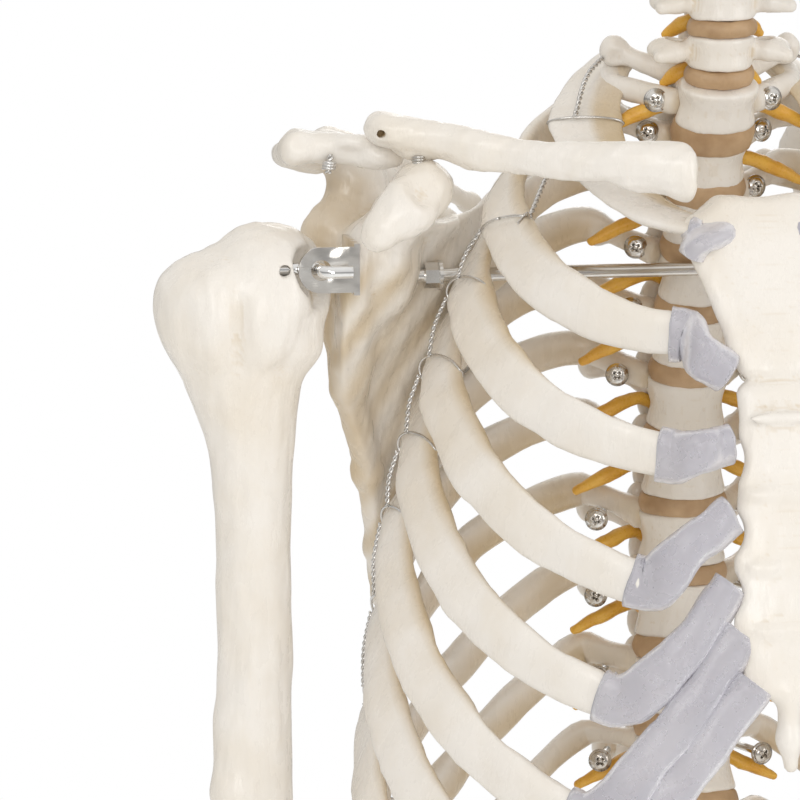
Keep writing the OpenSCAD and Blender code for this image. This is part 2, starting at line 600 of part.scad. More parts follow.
module humerus() color(bone) difference() {
    union() {
        translate([-shoulder_x, 0, shoulder_z]) sphere(r = head_r, $fn = 12);
        bar([
            [[-181, 1, 1452], 12, 14], [[-178, 0, 1440], 21, 20], [[-174, 0, 1420], 21, 19],
            [[-170, 0, 1395], 15.5, 15], [[-168, 0, 1370], 13, 13], [[-167, 0, 1324], 12.5, 12],
            [[-166, 0, 1250], 11, 11.5], [[-166, -1, 1190], 14, 9.5], [[-166, -1, 1160], 20, 7]
        ]);
        bar([[[-166, -1, 1160], 20, 7], [[-165, -1, 1148], 22, 6], [[-163, -1, 1135], 10, 4.5]]);
        rod([-192, 0, elbow_z], [-142, 0, elbow_z], elbow_r, 12);
        wrap([[[-140, 2, 1143], 5], [[-150, 0, 1152], 6]]);
        wrap([[[-190, 0, 1150], 4], [[-180, 0, 1156], 6]]);
    }
    // the bore of the hook's shank, and the counterbores in which the bracket and the hook's bends move
    rod([-170, shank_y, hook_hole.z], [-130, shank_y, hook_hole.z], hook_r + gap, 16);
    rod([-155.5, shank_y, hook_hole.z], [-130, shank_y, hook_hole.z], 10.5, 24);
    rod([-149.8, shank_y, hook_hole.z], [-130, shank_y, hook_hole.z], 14.5, 24);
}

function arc_points(r, a, b, n) = [for (t = steps(n)) r * [cos(mix(a, b, t)), sin(mix(a, b, t))]];

// The forearm's inner bone, with the notch that turns on the humerus's roller
module ulna() color(bone) {
    translate([-147, 0, elbow_z]) rotate([90, 0, -90])
        linear_extrude(height = 20)
            polygon(concat(arc_points(elbow_r + 0.8, 120, 295, 10), arc_points(elbow_r + 8, 295, 120, 8)));
    bar([
        [[-157, 3, 1116], 8, 7], [[-158, 4, 1095], 8, 8], [[-161, 6, 1060], 6.5, 7], [[-167, 7, 1000], 6, 6.5],
        [[-177, 5, 930], 5, 5.5], [[-184, 3, 900], 5, 5], [[-186, 2, 890], 7, 7], [[-186, 2, 885], 5, 5]
    ]);
}

radius_head = [-183, 0, 1108];
module radius_bone() color(bone) {
    rod(radius_head + [0, 0, -6], radius_head + [0, 0, 6.5], 10, 12);
    bar([
        [[-183, 0, 1103], 6.5, 6.5], [[-184, 0, 1088], 6.5, 6.5], [[-190, -3, 1070], 7.5, 7],
        [[-200, -2, 1020], 7, 6.5], [[-205, -1, 960], 7, 7], [[-207, -1, 915], 9, 8],
        [[-208, -1, 890], 14, 9], [[-208, -1, 882], 12.5, 8]
    ]);
}

// A short hand or foot bone, waisted between its ends
module small_bone(p, q, r_p, r_q, up = [0, -1, 0]) {
    bar([[p, r_p * 0.8, r_p * 0.8], [mix(p, q, 0.15), r_p, r_p], [mix(p, q, 0.5), r_q * 0.62, r_q * 0.62],
         [mix(p, q, 0.87), r_q, r_q], [q, r_q * 0.7, r_q * 0.7]], up = up, sides = 6);
}

// The hand hangs with its palm to the front and its thumb outwards
hand_x = -203;
function knuckle(f) = [hand_x + 24 - 15.5 * f, -2, wrist_z - [68, 72, 74, 72][f]];
finger_long = [72, 88, 94, 84];
module hand() color(bone) {
    for (i = [0:3])
        wrap([[[hand_x + 15 - 10.2 * i, -1, wrist_z + 4], 5], [[hand_x + 15 - 10.2 * i, 0, wrist_z + 1], 5]]);
    for (i = [0:3])
        wrap([[[hand_x + 17 - 11.5 * i, -1, wrist_z - 9], 5.2], [[hand_x + 17 - 11.5 * i, 0, wrist_z - 12], 5.2]]);
    for (f = [0:3])
        small_bone([hand_x + 18 - 12 * f, -1, wrist_z - 18], knuckle(f) + [0, 0, 3], 6, 6);
}

module fingers() color(bone) for (f = [0:3]) {
    k = knuckle(f) + [0, 0, -5];
    l = finger_long[f];
    spread = [1.6 - f * 1.1, -0.4, -10] / 10;
    small_bone(k, k + spread * l * 0.46, 5.6, 4.6);
    small_bone(k + spread * l * 0.49, k + spread * l * 0.76, 4.8, 4);
    small_bone(k + spread * l * 0.79, k + spread * l, 4, 3);
}

thumb_root = [hand_x - 24, -6, wrist_z - 16];
module thumb() color(bone) {
    d = unit([-0.27, -0.3, -1]);
    small_bone(thumb_root + 3 * d, thumb_root + 44 * d, 6, 5.6);
    small_bone(thumb_root + 46 * d, thumb_root + 75 * d, 5.4, 4.6);
    small_bone(thumb_root + 77 * d, thumb_root + 98 * d, 4.8, 3.6);
}

// ---------- leg ----------

module femur() color(bone) difference() {
    union() {
        translate([-hip_x, 0, hip_z]) sphere(r = femoral_r, $fn = 12);
        bar([[[-hip_x - 8, 1, hip_z - 5], 14, 14], [[-112, 4, 938], 13, 15], [[-134, 6, 918], 16, 20]], up = [0, -1, 0]);
        bar([
            [[-141, 14, 950], 6, 8], [[-139, 11, 938], 12, 15], [[-136, 8, 912], 17, 18], [[-132, 5, 880], 15, 15],
            [[-124, -4, 800], 13, 13], [[-112, -8, 720], 13, 13], [[-99, -6, 640], 14, 13.5],
            [[-88, -3, 590], 20, 14], [[-82, -1, 566], 27, 14], [[-80, 0, 552], 26, 12]
        ]);
        rod([-110, knee_y, knee_z], [-52, knee_y, knee_z], 21, 12);
    }
    rod([-hip_x + 2, 0, hip_z], [-hip_x + 30, 0, hip_z], bolt_r + gap, 16);
}

module patella() color(bone) bar([
    [[-80, -24, 566], 9, 5], [[-80, -25, 558], 19, 8], [[-80, -25, 545], 19, 8], [[-80, -24, 528], 7, 5]
]);

module tibia() color(bone) {
    bar([
        [[-80, 14, 515], 32, 19], [[-80, 14, 505], 35, 21], [[-80, 10, 480], 22, 20], [[-80, 5, 440], 14, 17],
        [[-80, 4, 340], 11, 13], [[-80, 6, 240], 10.5, 11], [[-80, 8, 185], 15, 13], [[-79, 9, 160], 18, 15]
    ]);
    wrap([[[-64, 8, 164], 6], [[-59, 8, 146], 5]]);
}

module fibula() color(bone) bar([
    [[-113, 28, 500], 5, 5], [[-114, 28, 490], 9, 9], [[-113, 26, 470], 5.5, 6], [[-107, 20, 340], 6, 6.5],
    [[-106, 16, 210], 6, 6], [[-106, 14, 165], 7.5, 9], [[-106, 13, 140], 6.5, 8], [[-106, 12, 128], 3, 4]
]);

function toe_root(t) = [-62 - 12.5 * t, -88 + 5 * t + (t == 0 ? 4 : 0), 92 - 2 * t];
module foot() color(bone) {
    rod([-97, ankle_y, ankle_z], [-68, ankle_y, ankle_z], 15, 12);
    wrap([[[-82, ankle_y, ankle_z - 14], 12], [[-78, -14, ankle_z - 16], 12]]);
    wrap([[[-84, 14, 112], 14], [[-84, 52, 100], 16]]);
    wrap([[[-84, 60, 106], 14], [[-82, 58, 91], 13]]);
    wrap([[[-92, 8, 108], 12], [[-98, -24, 104], 11]]);
    wrap([[[-72, -26, 116], 11], [[-72, -40, 110], 10]]);
    wrap([[[-70, -34, 108], 10], [[-98, -30, 102], 9]]);
    for (t = [0:4])
        small_bone([-68 - 9 * t, -42 + 4 * t, 108 - 3 * t], toe_root(t) + [0, 4, 0], t == 0 ? 9 : 7, t == 0 ? 9 : 6, [0, 0, 1]);
}

module toes() color(bone) for (t = [0:4]) {
    p = toe_root(t) + [0, -5, 0];
    l = [52, 42, 38, 33, 28][t];
    r = t == 0 ? 8 : 5;
    d = [0.05 - 0.05 * t, -1, -0.12];
    small_bone(p, p + d * l * 0.5, r, r * 0.85, [0, 0, 1]);
    small_bone(p + d * l * 0.55, p + d * l, r * 0.85, r * 0.7, [0, 0, 1]);
}

// ---------- the nodes ----------

stand_base();
base_feet();
stand_pole();
pole_bracket();
sacrum();
hip_bone();  // right_hip_bone
left_side() hip_bone();  // left_hip_bone
pubic_symphysis();
lumbar_vertebrae();
thoracic_vertebrae();
cervical_vertebrae();
intervertebral_discs();
spinal_nerves();
sternum();
right_ribs();
left_ribs();
costal_cartilages();
rib_screws();
rib_wires();
scapula();  // right_scapula
left_side() scapula();  // left_scapula
clavicle();  // right_clavicle
left_side() clavicle();  // left_clavicle
scapula_rod();
shoulder_brackets();
clavicle_wires();
neck_post();
skull_base();
skull_cap();
mandible();
jaw_springs();
shoulder_hook();  // right_shoulder_hook
left_side() shoulder_hook();  // left_shoulder_hook
humerus();  // right_humerus
left_side() humerus();  // left_humerus
ulna();  // right_ulna
left_side() ulna();  // left_ulna
radius_bone();  // right_radius
left_side() radius_bone();  // left_radius
hand();  // right_hand
left_side() hand();  // left_hand
fingers();  // right_fingers
left_side() fingers();  // left_fingers
thumb();  // right_thumb
left_side() thumb();  // left_thumb
hip_bolts();
femur();  // right_femur
left_side() femur();  // left_femur
patella();  // right_patella
left_side() patella();  // left_patella
tibia();  // right_tibia
left_side() tibia();  // left_tibia
fibula();  // right_fibula
left_side() fibula();  // left_fibula
foot();  // right_foot
left_side() foot();  // left_foot
toes();  // right_toes
left_side() toes();  // left_toes
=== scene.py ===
"""Looks of a life-size human skeleton teaching model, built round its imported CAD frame.

Bones are modelled in millimetres in the frame's own axes: +Z up, the skeleton faces -Y, and its right is -X.
Most are distance fields on a grid, in which simple shapes blend, and which are then skinned with quads.
Each bone of the right side is modelled once, and the left one is its mirror image.
"""
import json
import math
from collections import namedtuple

import bpy
import numpy as np
import openvdb
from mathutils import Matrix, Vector


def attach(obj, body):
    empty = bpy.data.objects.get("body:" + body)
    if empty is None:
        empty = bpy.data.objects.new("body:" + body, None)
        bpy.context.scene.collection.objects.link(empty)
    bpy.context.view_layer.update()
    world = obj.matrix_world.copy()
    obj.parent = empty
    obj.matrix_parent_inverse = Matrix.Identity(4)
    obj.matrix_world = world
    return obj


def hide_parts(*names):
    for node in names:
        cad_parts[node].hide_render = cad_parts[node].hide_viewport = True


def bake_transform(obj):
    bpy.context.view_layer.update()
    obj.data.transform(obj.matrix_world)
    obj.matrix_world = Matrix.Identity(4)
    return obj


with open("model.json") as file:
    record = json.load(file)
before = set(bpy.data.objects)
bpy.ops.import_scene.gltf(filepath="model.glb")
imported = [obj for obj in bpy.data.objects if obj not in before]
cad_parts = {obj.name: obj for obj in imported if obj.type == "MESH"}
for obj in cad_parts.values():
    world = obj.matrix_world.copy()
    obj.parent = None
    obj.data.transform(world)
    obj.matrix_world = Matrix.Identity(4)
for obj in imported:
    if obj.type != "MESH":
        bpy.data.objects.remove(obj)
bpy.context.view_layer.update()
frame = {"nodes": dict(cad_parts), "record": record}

MM = 0.001                  # metres in a millimetre
FAR = 30.0                  # the field's value away from any bone, in mm
WAVES = 14                  # sine waves summed for a rough surface
X, Y, Z = (1, 0, 0), (0, 1, 0), (0, 0, 1)


# ---------- numbers ----------

def vec(*p):
    return np.array(p, float)


def unit(v):
    return np.asarray(v, float) / np.linalg.norm(v)


def mix(p, q, t):
    return p + (q - p) * t


def look(k, table):
    """Straight-line lookup of k in a table of (key, value) pairs."""
    keys, values = zip(*table)
    return float(np.interp(k, keys, values))


def curve(s, keys, values):
    """Smooth curve through (key, value) pairs, evaluated at s, held flat beyond the ends."""
    keys, values = np.asarray(keys, float), np.asarray(values, float)
    slope = np.gradient(values, keys)
    s = np.clip(s, keys[0], keys[-1])
    i = np.clip(np.searchsorted(keys, s, side="right") - 1, 0, len(keys) - 2)
    span = keys[i + 1] - keys[i]
    t = (s - keys[i]) / span
    return ((2 * t**3 - 3 * t**2 + 1) * values[i] + (t**3 - 2 * t**2 + t) * span * slope[i]
            + (3 * t**2 - 2 * t**3) * values[i + 1] + (t**3 - t**2) * span * slope[i + 1])


def spline(points, count):
    """count points, evenly spaced, on a smooth curve through the given points."""
    points = np.asarray(points, float)
    keys = np.r_[0, np.cumsum(np.linalg.norm(np.diff(points, axis=0), axis=1))]
    s = np.linspace(0, keys[-1], count)
    return np.stack([curve(s, keys, points[:, i]) for i in range(points.shape[1])], 1)


def turned(axis, degrees):
    """Matrix of a turn about an axis."""
    x, y, z = unit(axis)
    c, s = math.cos(math.radians(degrees)), math.sin(math.radians(degrees))
    k = np.array([[0, -z, y], [z, 0, -x], [-y, x, 0]])
    return np.eye(3) * c + s * k + (1 - c) * np.outer((x, y, z), (x, y, z))


# ---------- clay: shapes blended on a grid ----------

def smooth_min(a, b, k):
    h = np.maximum(k - np.abs(a - b), 0) / k
    return np.minimum(a, b) - h * h * k / 4


def relaxed(points, quads, passes):
    """The points with the grid's steps smoothed out, and without shrinking."""
    ends = np.vstack([quads[:, [i, (i + 1) % 4]] for i in range(4)])
    count = np.bincount(ends[:, 0], minlength=len(points)) + np.bincount(ends[:, 1], minlength=len(points))
    for step in (0.5, -0.52) * passes:
        total = np.stack([np.bincount(ends[:, 0], points[ends[:, 1], i], len(points))
                          + np.bincount(ends[:, 1], points[ends[:, 0], i], len(points)) for i in range(3)], 1)
        points = points + step * (total / np.maximum(count, 1)[:, None] - points)
    return points


FLAT_SHARE, CREVICE_SHARE = 0.52, 0.3   # bone round a point on a flat, and how much more in a crevice


class Clay:
    """A distance field on a grid, in millimetres: negative inside the bone."""

    def __init__(self, low, high, voxel=1.0):
        self.h = voxel
        self.low = np.asarray(low, float) - 3 * voxel
        cells = np.ceil((np.asarray(high, float) - self.low) / voxel).astype(int) + 4
        self.f = np.full(cells, FAR, np.float32)

    def _window(self, low, high):
        a = np.clip(np.floor((low - self.low) / self.h).astype(int), 0, self.f.shape)
        b = np.clip(np.ceil((high - self.low) / self.h).astype(int) + 1, 0, self.f.shape)
        cut = tuple(slice(int(i), int(j)) for i, j in zip(a, b))
        return cut, [g.astype(np.float32) * self.h + self.low[i] for i, g in enumerate(np.ogrid[cut])]

    def put(self, shape, k=3.0):
        """Blends a shape in; k is how wide the fillet is."""
        distance, low, high = shape
        cut, (x, y, z) = self._window(low - k - 2 * self.h, high + k + 2 * self.h)
        self.f[cut] = smooth_min(self.f[cut], distance(x, y, z), k)

    def cut(self, shape, k=1.5):
        """Takes a shape away."""
        distance, low, high = shape
        cut, (x, y, z) = self._window(low - k - 2 * self.h, high + k + 2 * self.h)
        self.f[cut] = -smooth_min(-self.f[cut], distance(x, y, z), k)

    def _hollows(self, points, reach):
        """How sunken each point lies, by the share of bone within reach: 0 on flats, 1 in crevices."""
        n = max(1, int(round(reach / self.h)))
        share = (self.f < 0).astype(np.float32)
        for axis in range(3):
            pad = [(0, 0)] * 3
            pad[axis] = (n + 1, n)
            sums = np.cumsum(np.pad(share, pad, mode="edge"), axis=axis)
            size = self.f.shape[axis]
            upper = np.take(sums, np.arange(size) + 2 * n + 1, axis=axis)
            lower = np.take(sums, np.arange(size), axis=axis)
            share = (upper - lower) / (2 * n + 1)
        i = np.clip(np.round(points).astype(int), 0, np.array(self.f.shape) - 1)
        return np.clip((share[i[:, 0], i[:, 1], i[:, 2]] - FLAT_SHARE) / CREVICE_SHARE, 0, 1)

    def skin(self, reach=5.0, passes=2):
        """Points in millimetres, quads, and how sunken each point is."""
        grid = openvdb.FloatGrid(FAR)
        grid.copyFromArray(self.f)
        points, quads = grid.convertToQuads(0.0)
        points, quads = points.astype(float), quads.astype(int)
        # how sunken each point is sets the tan wash and the painted shade in the hollows
        hollow = self._hollows(points, reach)
        return relaxed(points, quads, passes) * self.h + self.low, quads, hollow


def cone(p, q, r1, r2=None):
    """A round bar from p to q that tapers from r1 to r2."""
    p, q = np.asarray(p, float), np.asarray(q, float)
    r2 = r1 if r2 is None else r2
    v = q - p
    vv = v @ v

    def distance(x, y, z):
        dx, dy, dz = x - p[0], y - p[1], z - p[2]
        t = np.clip((dx * v[0] + dy * v[1] + dz * v[2]) / vv, 0, 1)
        return np.sqrt((dx - t * v[0])**2 + (dy - t * v[1])**2 + (dz - t * v[2])**2) - (r1 + t * (r2 - r1))
    r = max(r1, r2)
    return distance, np.minimum(p, q) - r, np.maximum(p, q) + r


def drum(p, q, r1, r2=None):
    """A bar from p to q with flat ends."""
    p, q = np.asarray(p, float), np.asarray(q, float)
    r2 = r1 if r2 is None else r2
    long = np.linalg.norm(q - p)
    v = (q - p) / long

    def distance(x, y, z):
        dx, dy, dz = x - p[0], y - p[1], z - p[2]
        s = dx * v[0] + dy * v[1] + dz * v[2]
        out = np.sqrt(np.maximum(dx**2 + dy**2 + dz**2 - s**2, 0)) - (r1 + np.clip(s / long, 0,
                                                                                   1) * (r2 - r1))
        return np.maximum(out, np.maximum(-s, s - long))
    r = max(r1, r2)
    return distance, np.minimum(p, q) - r, np.maximum(p, q) + r


def chain(clay, points, k=3.0):
    """Tapered bars through (x, y, z, radius) points."""
    for a, b in zip(points, points[1:]):
        clay.put(cone(a[:3], b[:3], a[3], b[3]), k)


def oval(c, half, turn=None):
    """An ellipsoid with half axes, turned by a matrix."""
    c, half = np.asarray(c, float), np.asarray(half, float) * np.ones(3)
    m = np.eye(3) if turn is None else turn.T

    def distance(x, y, z):
        dx, dy, dz = x - c[0], y - c[1], z - c[2]
        u = [m[i, 0] * dx + m[i, 1] * dy + m[i, 2] * dz for i in range(3)]
        k0 = np.sqrt(sum((a / r)**2 for a, r in zip(u, half)))
        k1 = np.sqrt(sum((a / r**2)**2 for a, r in zip(u, half)))
        return k0 * (k0 - 1) / np.maximum(k1, 1e-4)
    reach = np.sqrt(((np.eye(3) if turn is None else turn)**2) @ half**2)
    return distance, c - reach, c + reach


def ovals(act, *rows):
    """Puts or cuts ellipsoids from rows of centre, half axes and fillet."""
    for x, y, z, a, b, c, k in rows:
        act(oval((x, y, z), (a, b, c)), k)


def slab(c, half, turn=None, edge=1.0):
    """A box with rounded edges."""
    c, half = np.asarray(c, float), np.asarray(half, float)
    m = np.eye(3) if turn is None else turn.T

    def distance(x, y, z):
        dx, dy, dz = x - c[0], y - c[1], z - c[2]
        q = [np.abs(m[i, 0] * dx + m[i, 1] * dy + m[i, 2] * dz) - half[i] + edge for i in range(3)]
        out = np.sqrt(sum(np.maximum(a, 0)**2 for a in q))
        return out + np.minimum(np.maximum(np.maximum(q[0], q[1]), q[2]), 0) - edge
    reach = np.abs(np.eye(3) if turn is None else turn) @ half
    return distance, c - reach, c + reach


def loft(rows, axis=2, end=6.0):
    """A shaft along an axis: rows of (place, centre 1, centre 2, half width 1, half width 2)."""
    rows = np.asarray(rows, float)
    others = [i for i in range(3) if i != axis]

    def distance(*xyz):
        s = xyz[axis]
        c1, c2, a, b = [curve(s, rows[:, 0], rows[:, i]).astype(np.float32) for i in range(1, 5)]
        u, v = xyz[others[0]] - c1, xyz[others[1]] - c2
        round_it = np.sqrt((u / a)**2 + (v / b)**2)
        side = (round_it - 1) * np.minimum(a, b)
        return -smooth_min(-side, -np.maximum(rows[0, 0] - s, s - rows[-1, 0]), end)
    low, high = np.zeros(3), np.zeros(3)
    low[axis], high[axis] = rows[0, 0], rows[-1, 0]
    for j, o in enumerate(others):
        low[o] = (rows[:, 1 + j] - rows[:, 3 + j]).min()
        high[o] = (rows[:, 1 + j] + rows[:, 3 + j]).max()
    return distance, low, high


def outline_distance(u, v, corners):
    """Distance to a closed outline in a plane, negative inside."""
    corners = np.asarray(corners, float)
    best = np.full(np.broadcast(u, v).shape, 1e9)
    inside = np.zeros(best.shape, bool)
    for (x0, y0), (x1, y1) in zip(corners, np.roll(corners, -1, 0)):
        dx, dy = x1 - x0, y1 - y0
        t = np.clip(((u - x0) * dx + (v - y0) * dy) / (dx * dx + dy * dy), 0, 1)
        best = np.minimum(best, (u - x0 - t * dx)**2 + (v - y0 - t * dy)**2)
        crosses = ((y0 > v) != (y1 > v)) & (u < (x1 - x0) * (v - y0) / (y1 - y0 + 1e-12) + x0)
        inside ^= crosses
    return np.sqrt(best) * np.where(inside, -1, 1)


def bent_plane(spots, u, v):
    """Height of the smooth sheet through (u, v, height) spots."""
    spots = np.asarray(spots, float)

    def kernel(r2):
        return r2 * np.log(np.maximum(r2, 1e-9))
    n = len(spots)
    a = np.zeros((n + 3, n + 3))
    a[:n, :n] = kernel(((spots[:, None, :2] - spots[None, :, :2])**2).sum(2))
    a[:n, n:] = np.c_[np.ones(n), spots[:, :2]]
    a[n:, :n] = a[:n, n:].T
    w = np.linalg.solve(a, np.r_[spots[:, 2], 0, 0, 0])
    height = w[n] + w[n + 1] * u + w[n + 2] * v
    for i in range(n):
        height = height + w[i] * kernel((u - spots[i, 0])**2 + (v - spots[i, 1])**2)
    return height


def plate(outline, spots, thick, axis=1, edge=4.0):
    """A curved plate: an outline seen along an axis, spots on its middle sheet, and thick(u, v, inwards)."""
    others = [i for i in range(3) if i != axis]
    outline = spline(np.vstack([outline, outline[:1]]), 90)[:-1]

    def distance(*xyz):
        u, v = np.squeeze(xyz[others[0]]), np.squeeze(xyz[others[1]])
        u, v = np.meshgrid(u, v, indexing="ij")
        rim = outline_distance(u, v, outline)
        height = bent_plane(spots, u, v)
        step = float(abs(u[1, 0] - u[0, 0]))
        gu, gv = np.gradient(height, step)
        lean = 1 / np.sqrt(1 + gu**2 + gv**2)
        half = thick(u, v, -rim)
        shape = [1, 1, 1]
        shape[others[0]], shape[others[1]] = u.shape

        def up(a):
            return a.reshape(shape).astype(np.float32)
        flat = np.abs(xyz[axis] - up(height)) * up(lean) - up(half)
        return -smooth_min(-flat, -up(rim), edge)
    low, high = np.zeros(3), np.zeros(3)
    spots = np.asarray(spots, float)
    for j, o in enumerate(others):
        low[o], high[o] = outline[:, j].min(), outline[:, j].max()
    low[axis], high[axis] = spots[:, 2].min() - 12, spots[:, 2].max() + 12
    return distance, low, high


# ---------- skins that are swept along a line ----------

def sweep(path, half_u, half_v, up=Z, sides=20, square=1.0, round_ends=True):
    """A closed tube along path, half_u wide across the up direction and half_v along it at each point."""
    path = np.asarray(path, float)
    half_u, half_v = np.ones(len(path)) * half_u, np.ones(len(path)) * half_v
    tangent = np.gradient(path, axis=0)
    tangent /= np.linalg.norm(tangent, axis=1)[:, None]
    if round_ends:
        lead = min(half_u[0], half_v[0]) * 0.7
        tail = min(half_u[-1], half_v[-1]) * 0.7
        s = np.array([1.0, 0.85, 0.5])
        shrink = np.sqrt(1 - s**2 * 0.96)
        path = np.vstack([path[0] - tangent[0] * (s * lead)[:, None], path,
                          path[-1] + tangent[-1] * (s[::-1] * tail)[:, None]])
        half_u = np.r_[half_u[0] * shrink, half_u, half_u[-1] * shrink[::-1]]
        half_v = np.r_[half_v[0] * shrink, half_v, half_v[-1] * shrink[::-1]]
        tangent = np.vstack([np.repeat(tangent[:1], 3, 0), tangent, np.repeat(tangent[-1:], 3, 0)])
    up = np.asarray(up, float)
    if up.ndim == 2 and round_ends:
        up = np.vstack([np.repeat(up[:1], 3, 0), up, np.repeat(up[-1:], 3, 0)])
    u = np.cross(tangent, up)
    u /= np.linalg.norm(u, axis=1)[:, None]
    v = np.cross(tangent, u)
    a = np.linspace(0, 2 * math.pi, sides, endpoint=False)
    ca = np.sign(np.cos(a)) * np.abs(np.cos(a))**square
    sa = np.sign(np.sin(a)) * np.abs(np.sin(a))**square
    rings = (path[:, None] + (half_u[:, None] * ca)[:, :, None] * u[:, None]
             + (half_v[:, None] * sa)[:, :, None] * v[:, None])
    n = len(path)
    points = np.vstack([rings.reshape(-1, 3), path[:1], path[-1:]])
    faces = []
    for i in range(n - 1):
        for j in range(sides):
            a0, a1 = i * sides + j, i * sides + (j + 1) % sides
            faces.append((a0, a0 + sides, a1 + sides, a1))
    first, last = n * sides, n * sides + 1
    for j in range(sides):
        k = (j + 1) % sides
        faces.append((first, j, k))
        faces.append((last, (n - 1) * sides + k, (n - 1) * sides + j))
    return points, faces, np.zeros(len(points))


def gather(skins):
    """Several skins as one."""
    points, faces, hollow, start = [], [], [], 0
    for p, f, h in skins:
        points.append(np.asarray(p, float))
        faces += [tuple(int(i) + start for i in face) for face in f]
        hollow.append(np.asarray(h, float))
        start += len(p)
    return np.vstack(points), faces, np.concatenate(hollow)


def moved(skin, turn, by):
    p, f, h = skin
    return np.asarray(p, float) @ turn.T + np.asarray(by, float), f, h


def mirrored(skin):
    p, f, h = skin
    return p * vec(-1, 1, 1), [tuple(face)[::-1] for face in f], h


def both_sides(skins):
    """The right side's skins and their mirror images, as one skin."""
    return gather(skins + [mirrored(skin) for skin in skins])


def waves(points, size, seed, high=1, wide=1):
    """Smooth random bumps from -1 to 1, of about the given size in millimetres, drawn out along z and x."""
    rng = np.random.default_rng(seed)
    q = points / vec(wide, 1, high)
    total = np.zeros(len(points))
    for _ in range(WAVES):
        direction = unit(rng.normal(size=3))
        length = size * rng.uniform(0.6, 1.7)
        total += np.sin(q @ direction * (2 * math.pi / length) + rng.uniform(0, 2 * math.pi))
    return total / math.sqrt(WAVES)


# ---------- pieces ----------

BONE_GRAIN = ((0.22, 16, 2.5), (0.1, 6, 2))


def new_mesh(name, points, faces, material):
    """A smooth mesh object in the scene, from points in millimetres."""
    mesh = bpy.data.meshes.new(name)
    mesh.from_pydata((np.asarray(points) * MM).tolist(), [], [tuple(map(int, f)) for f in faces])
    mesh.update()
    mesh.polygons.foreach_set("use_smooth", [True] * len(mesh.polygons))
    mesh.materials.append(MATERIAL[material])
    obj = bpy.data.objects.new(name, mesh)
    bpy.context.scene.collection.objects.link(obj)
    return obj


def roughen(mesh, points, name, rough):
    """Pushes the points along their normals by waves; rough holds (depth, size, stretch) of each."""
    normals = np.zeros(len(mesh.vertices) * 3, np.float32)
    mesh.vertex_normals.foreach_get("vector", normals)
    seed = sum(map(ord, name.replace("left", "right")))
    local = np.asarray(points) * vec(-1 if "left" in name else 1, 1, 1)
    push = sum(depth * waves(local, size, seed + i, *stretch)
               for i, (depth, size, *stretch) in enumerate(rough))
    co = (np.asarray(points) + normals.reshape(-1, 3) * push[:, None]) * MM
    mesh.vertices.foreach_set("co", co.astype(np.float32).ravel())


def piece(name, skin, node, rough=BONE_GRAIN, body="torso", slot="bone", material=None):
    """A mesh piece from a skin in millimetres, which stands for a CAD node and rides on a body."""
    points, faces, hollow = skin
    obj = new_mesh(name, points, faces, material or slot)
    if rough:
        roughen(obj.data, points, name, rough)
    # this attribute carries the tan wash and the painted shade of the bone
    obj.data.attributes.new("hollow", "FLOAT", "POINT").data.foreach_set("value", hollow.astype(np.float32))
    obj.data.update()
    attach(obj, body)
    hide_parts(node)


def bone_pair(name, skin, body, rough):
    """The right bone as modelled, and the left one mirrored."""
    for side, made in (("right", skin), ("left", mirrored(skin))):
        rides = body if body == "torso" else f"{side}_{body}"
        piece(f"{side}_{name}_casting", made, f"{side}_{name}", rough, rides)


# ---------- materials ----------

def shader(name, **values):
    """A new material with its Principled shader's sockets set: the material, its tree and the shader."""
    material = bpy.data.materials.new(name)
    material.use_nodes = True
    tree = material.node_tree
    surface = tree.nodes["Principled BSDF"]
    for key, value in values.items():
        surface.inputs[key.replace("_", " ")].default_value = value
    return material, tree, surface


def node(tree, kind, inputs=(), **settings):
    made = tree.nodes.new(kind)
    for key, value in settings.items():
        setattr(made, key, value)
    for key, value in dict(inputs).items():
        if isinstance(value, bpy.types.NodeSocket):
            tree.links.new(value, made.inputs[key])
        else:
            made.inputs[key].default_value = value
    return made


def noise(tree, place, scale, detail=3.0, rough=0.5):
    return node(tree, "ShaderNodeTexNoise",
                {"Vector": place, "Scale": scale, "Detail": detail, "Roughness": rough})


def spread(tree, value, low, high, to_low=0.0, to_high=1.0):
    made = node(tree, "ShaderNodeMapRange", {"Value": value, "From Min": low, "From Max": high,
                                             "To Min": to_low, "To Max": to_high})
    return made.outputs["Result"]


def blend_color(tree, factor, a, b, mode="MIX"):
    made = node(tree, "ShaderNodeMix", data_type="RGBA", blend_type=mode)
    for socket, value in ((made.inputs[0], factor), (made.inputs[6], a), (made.inputs[7], b)):
        if isinstance(value, bpy.types.NodeSocket):
            tree.links.new(value, socket)
        else:
            socket.default_value = value
    return made.outputs[2]


def math_of(tree, operation, a, b):
    made = node(tree, "ShaderNodeMath", {0: a, 1: b}, operation=operation)
    return made.outputs[0]


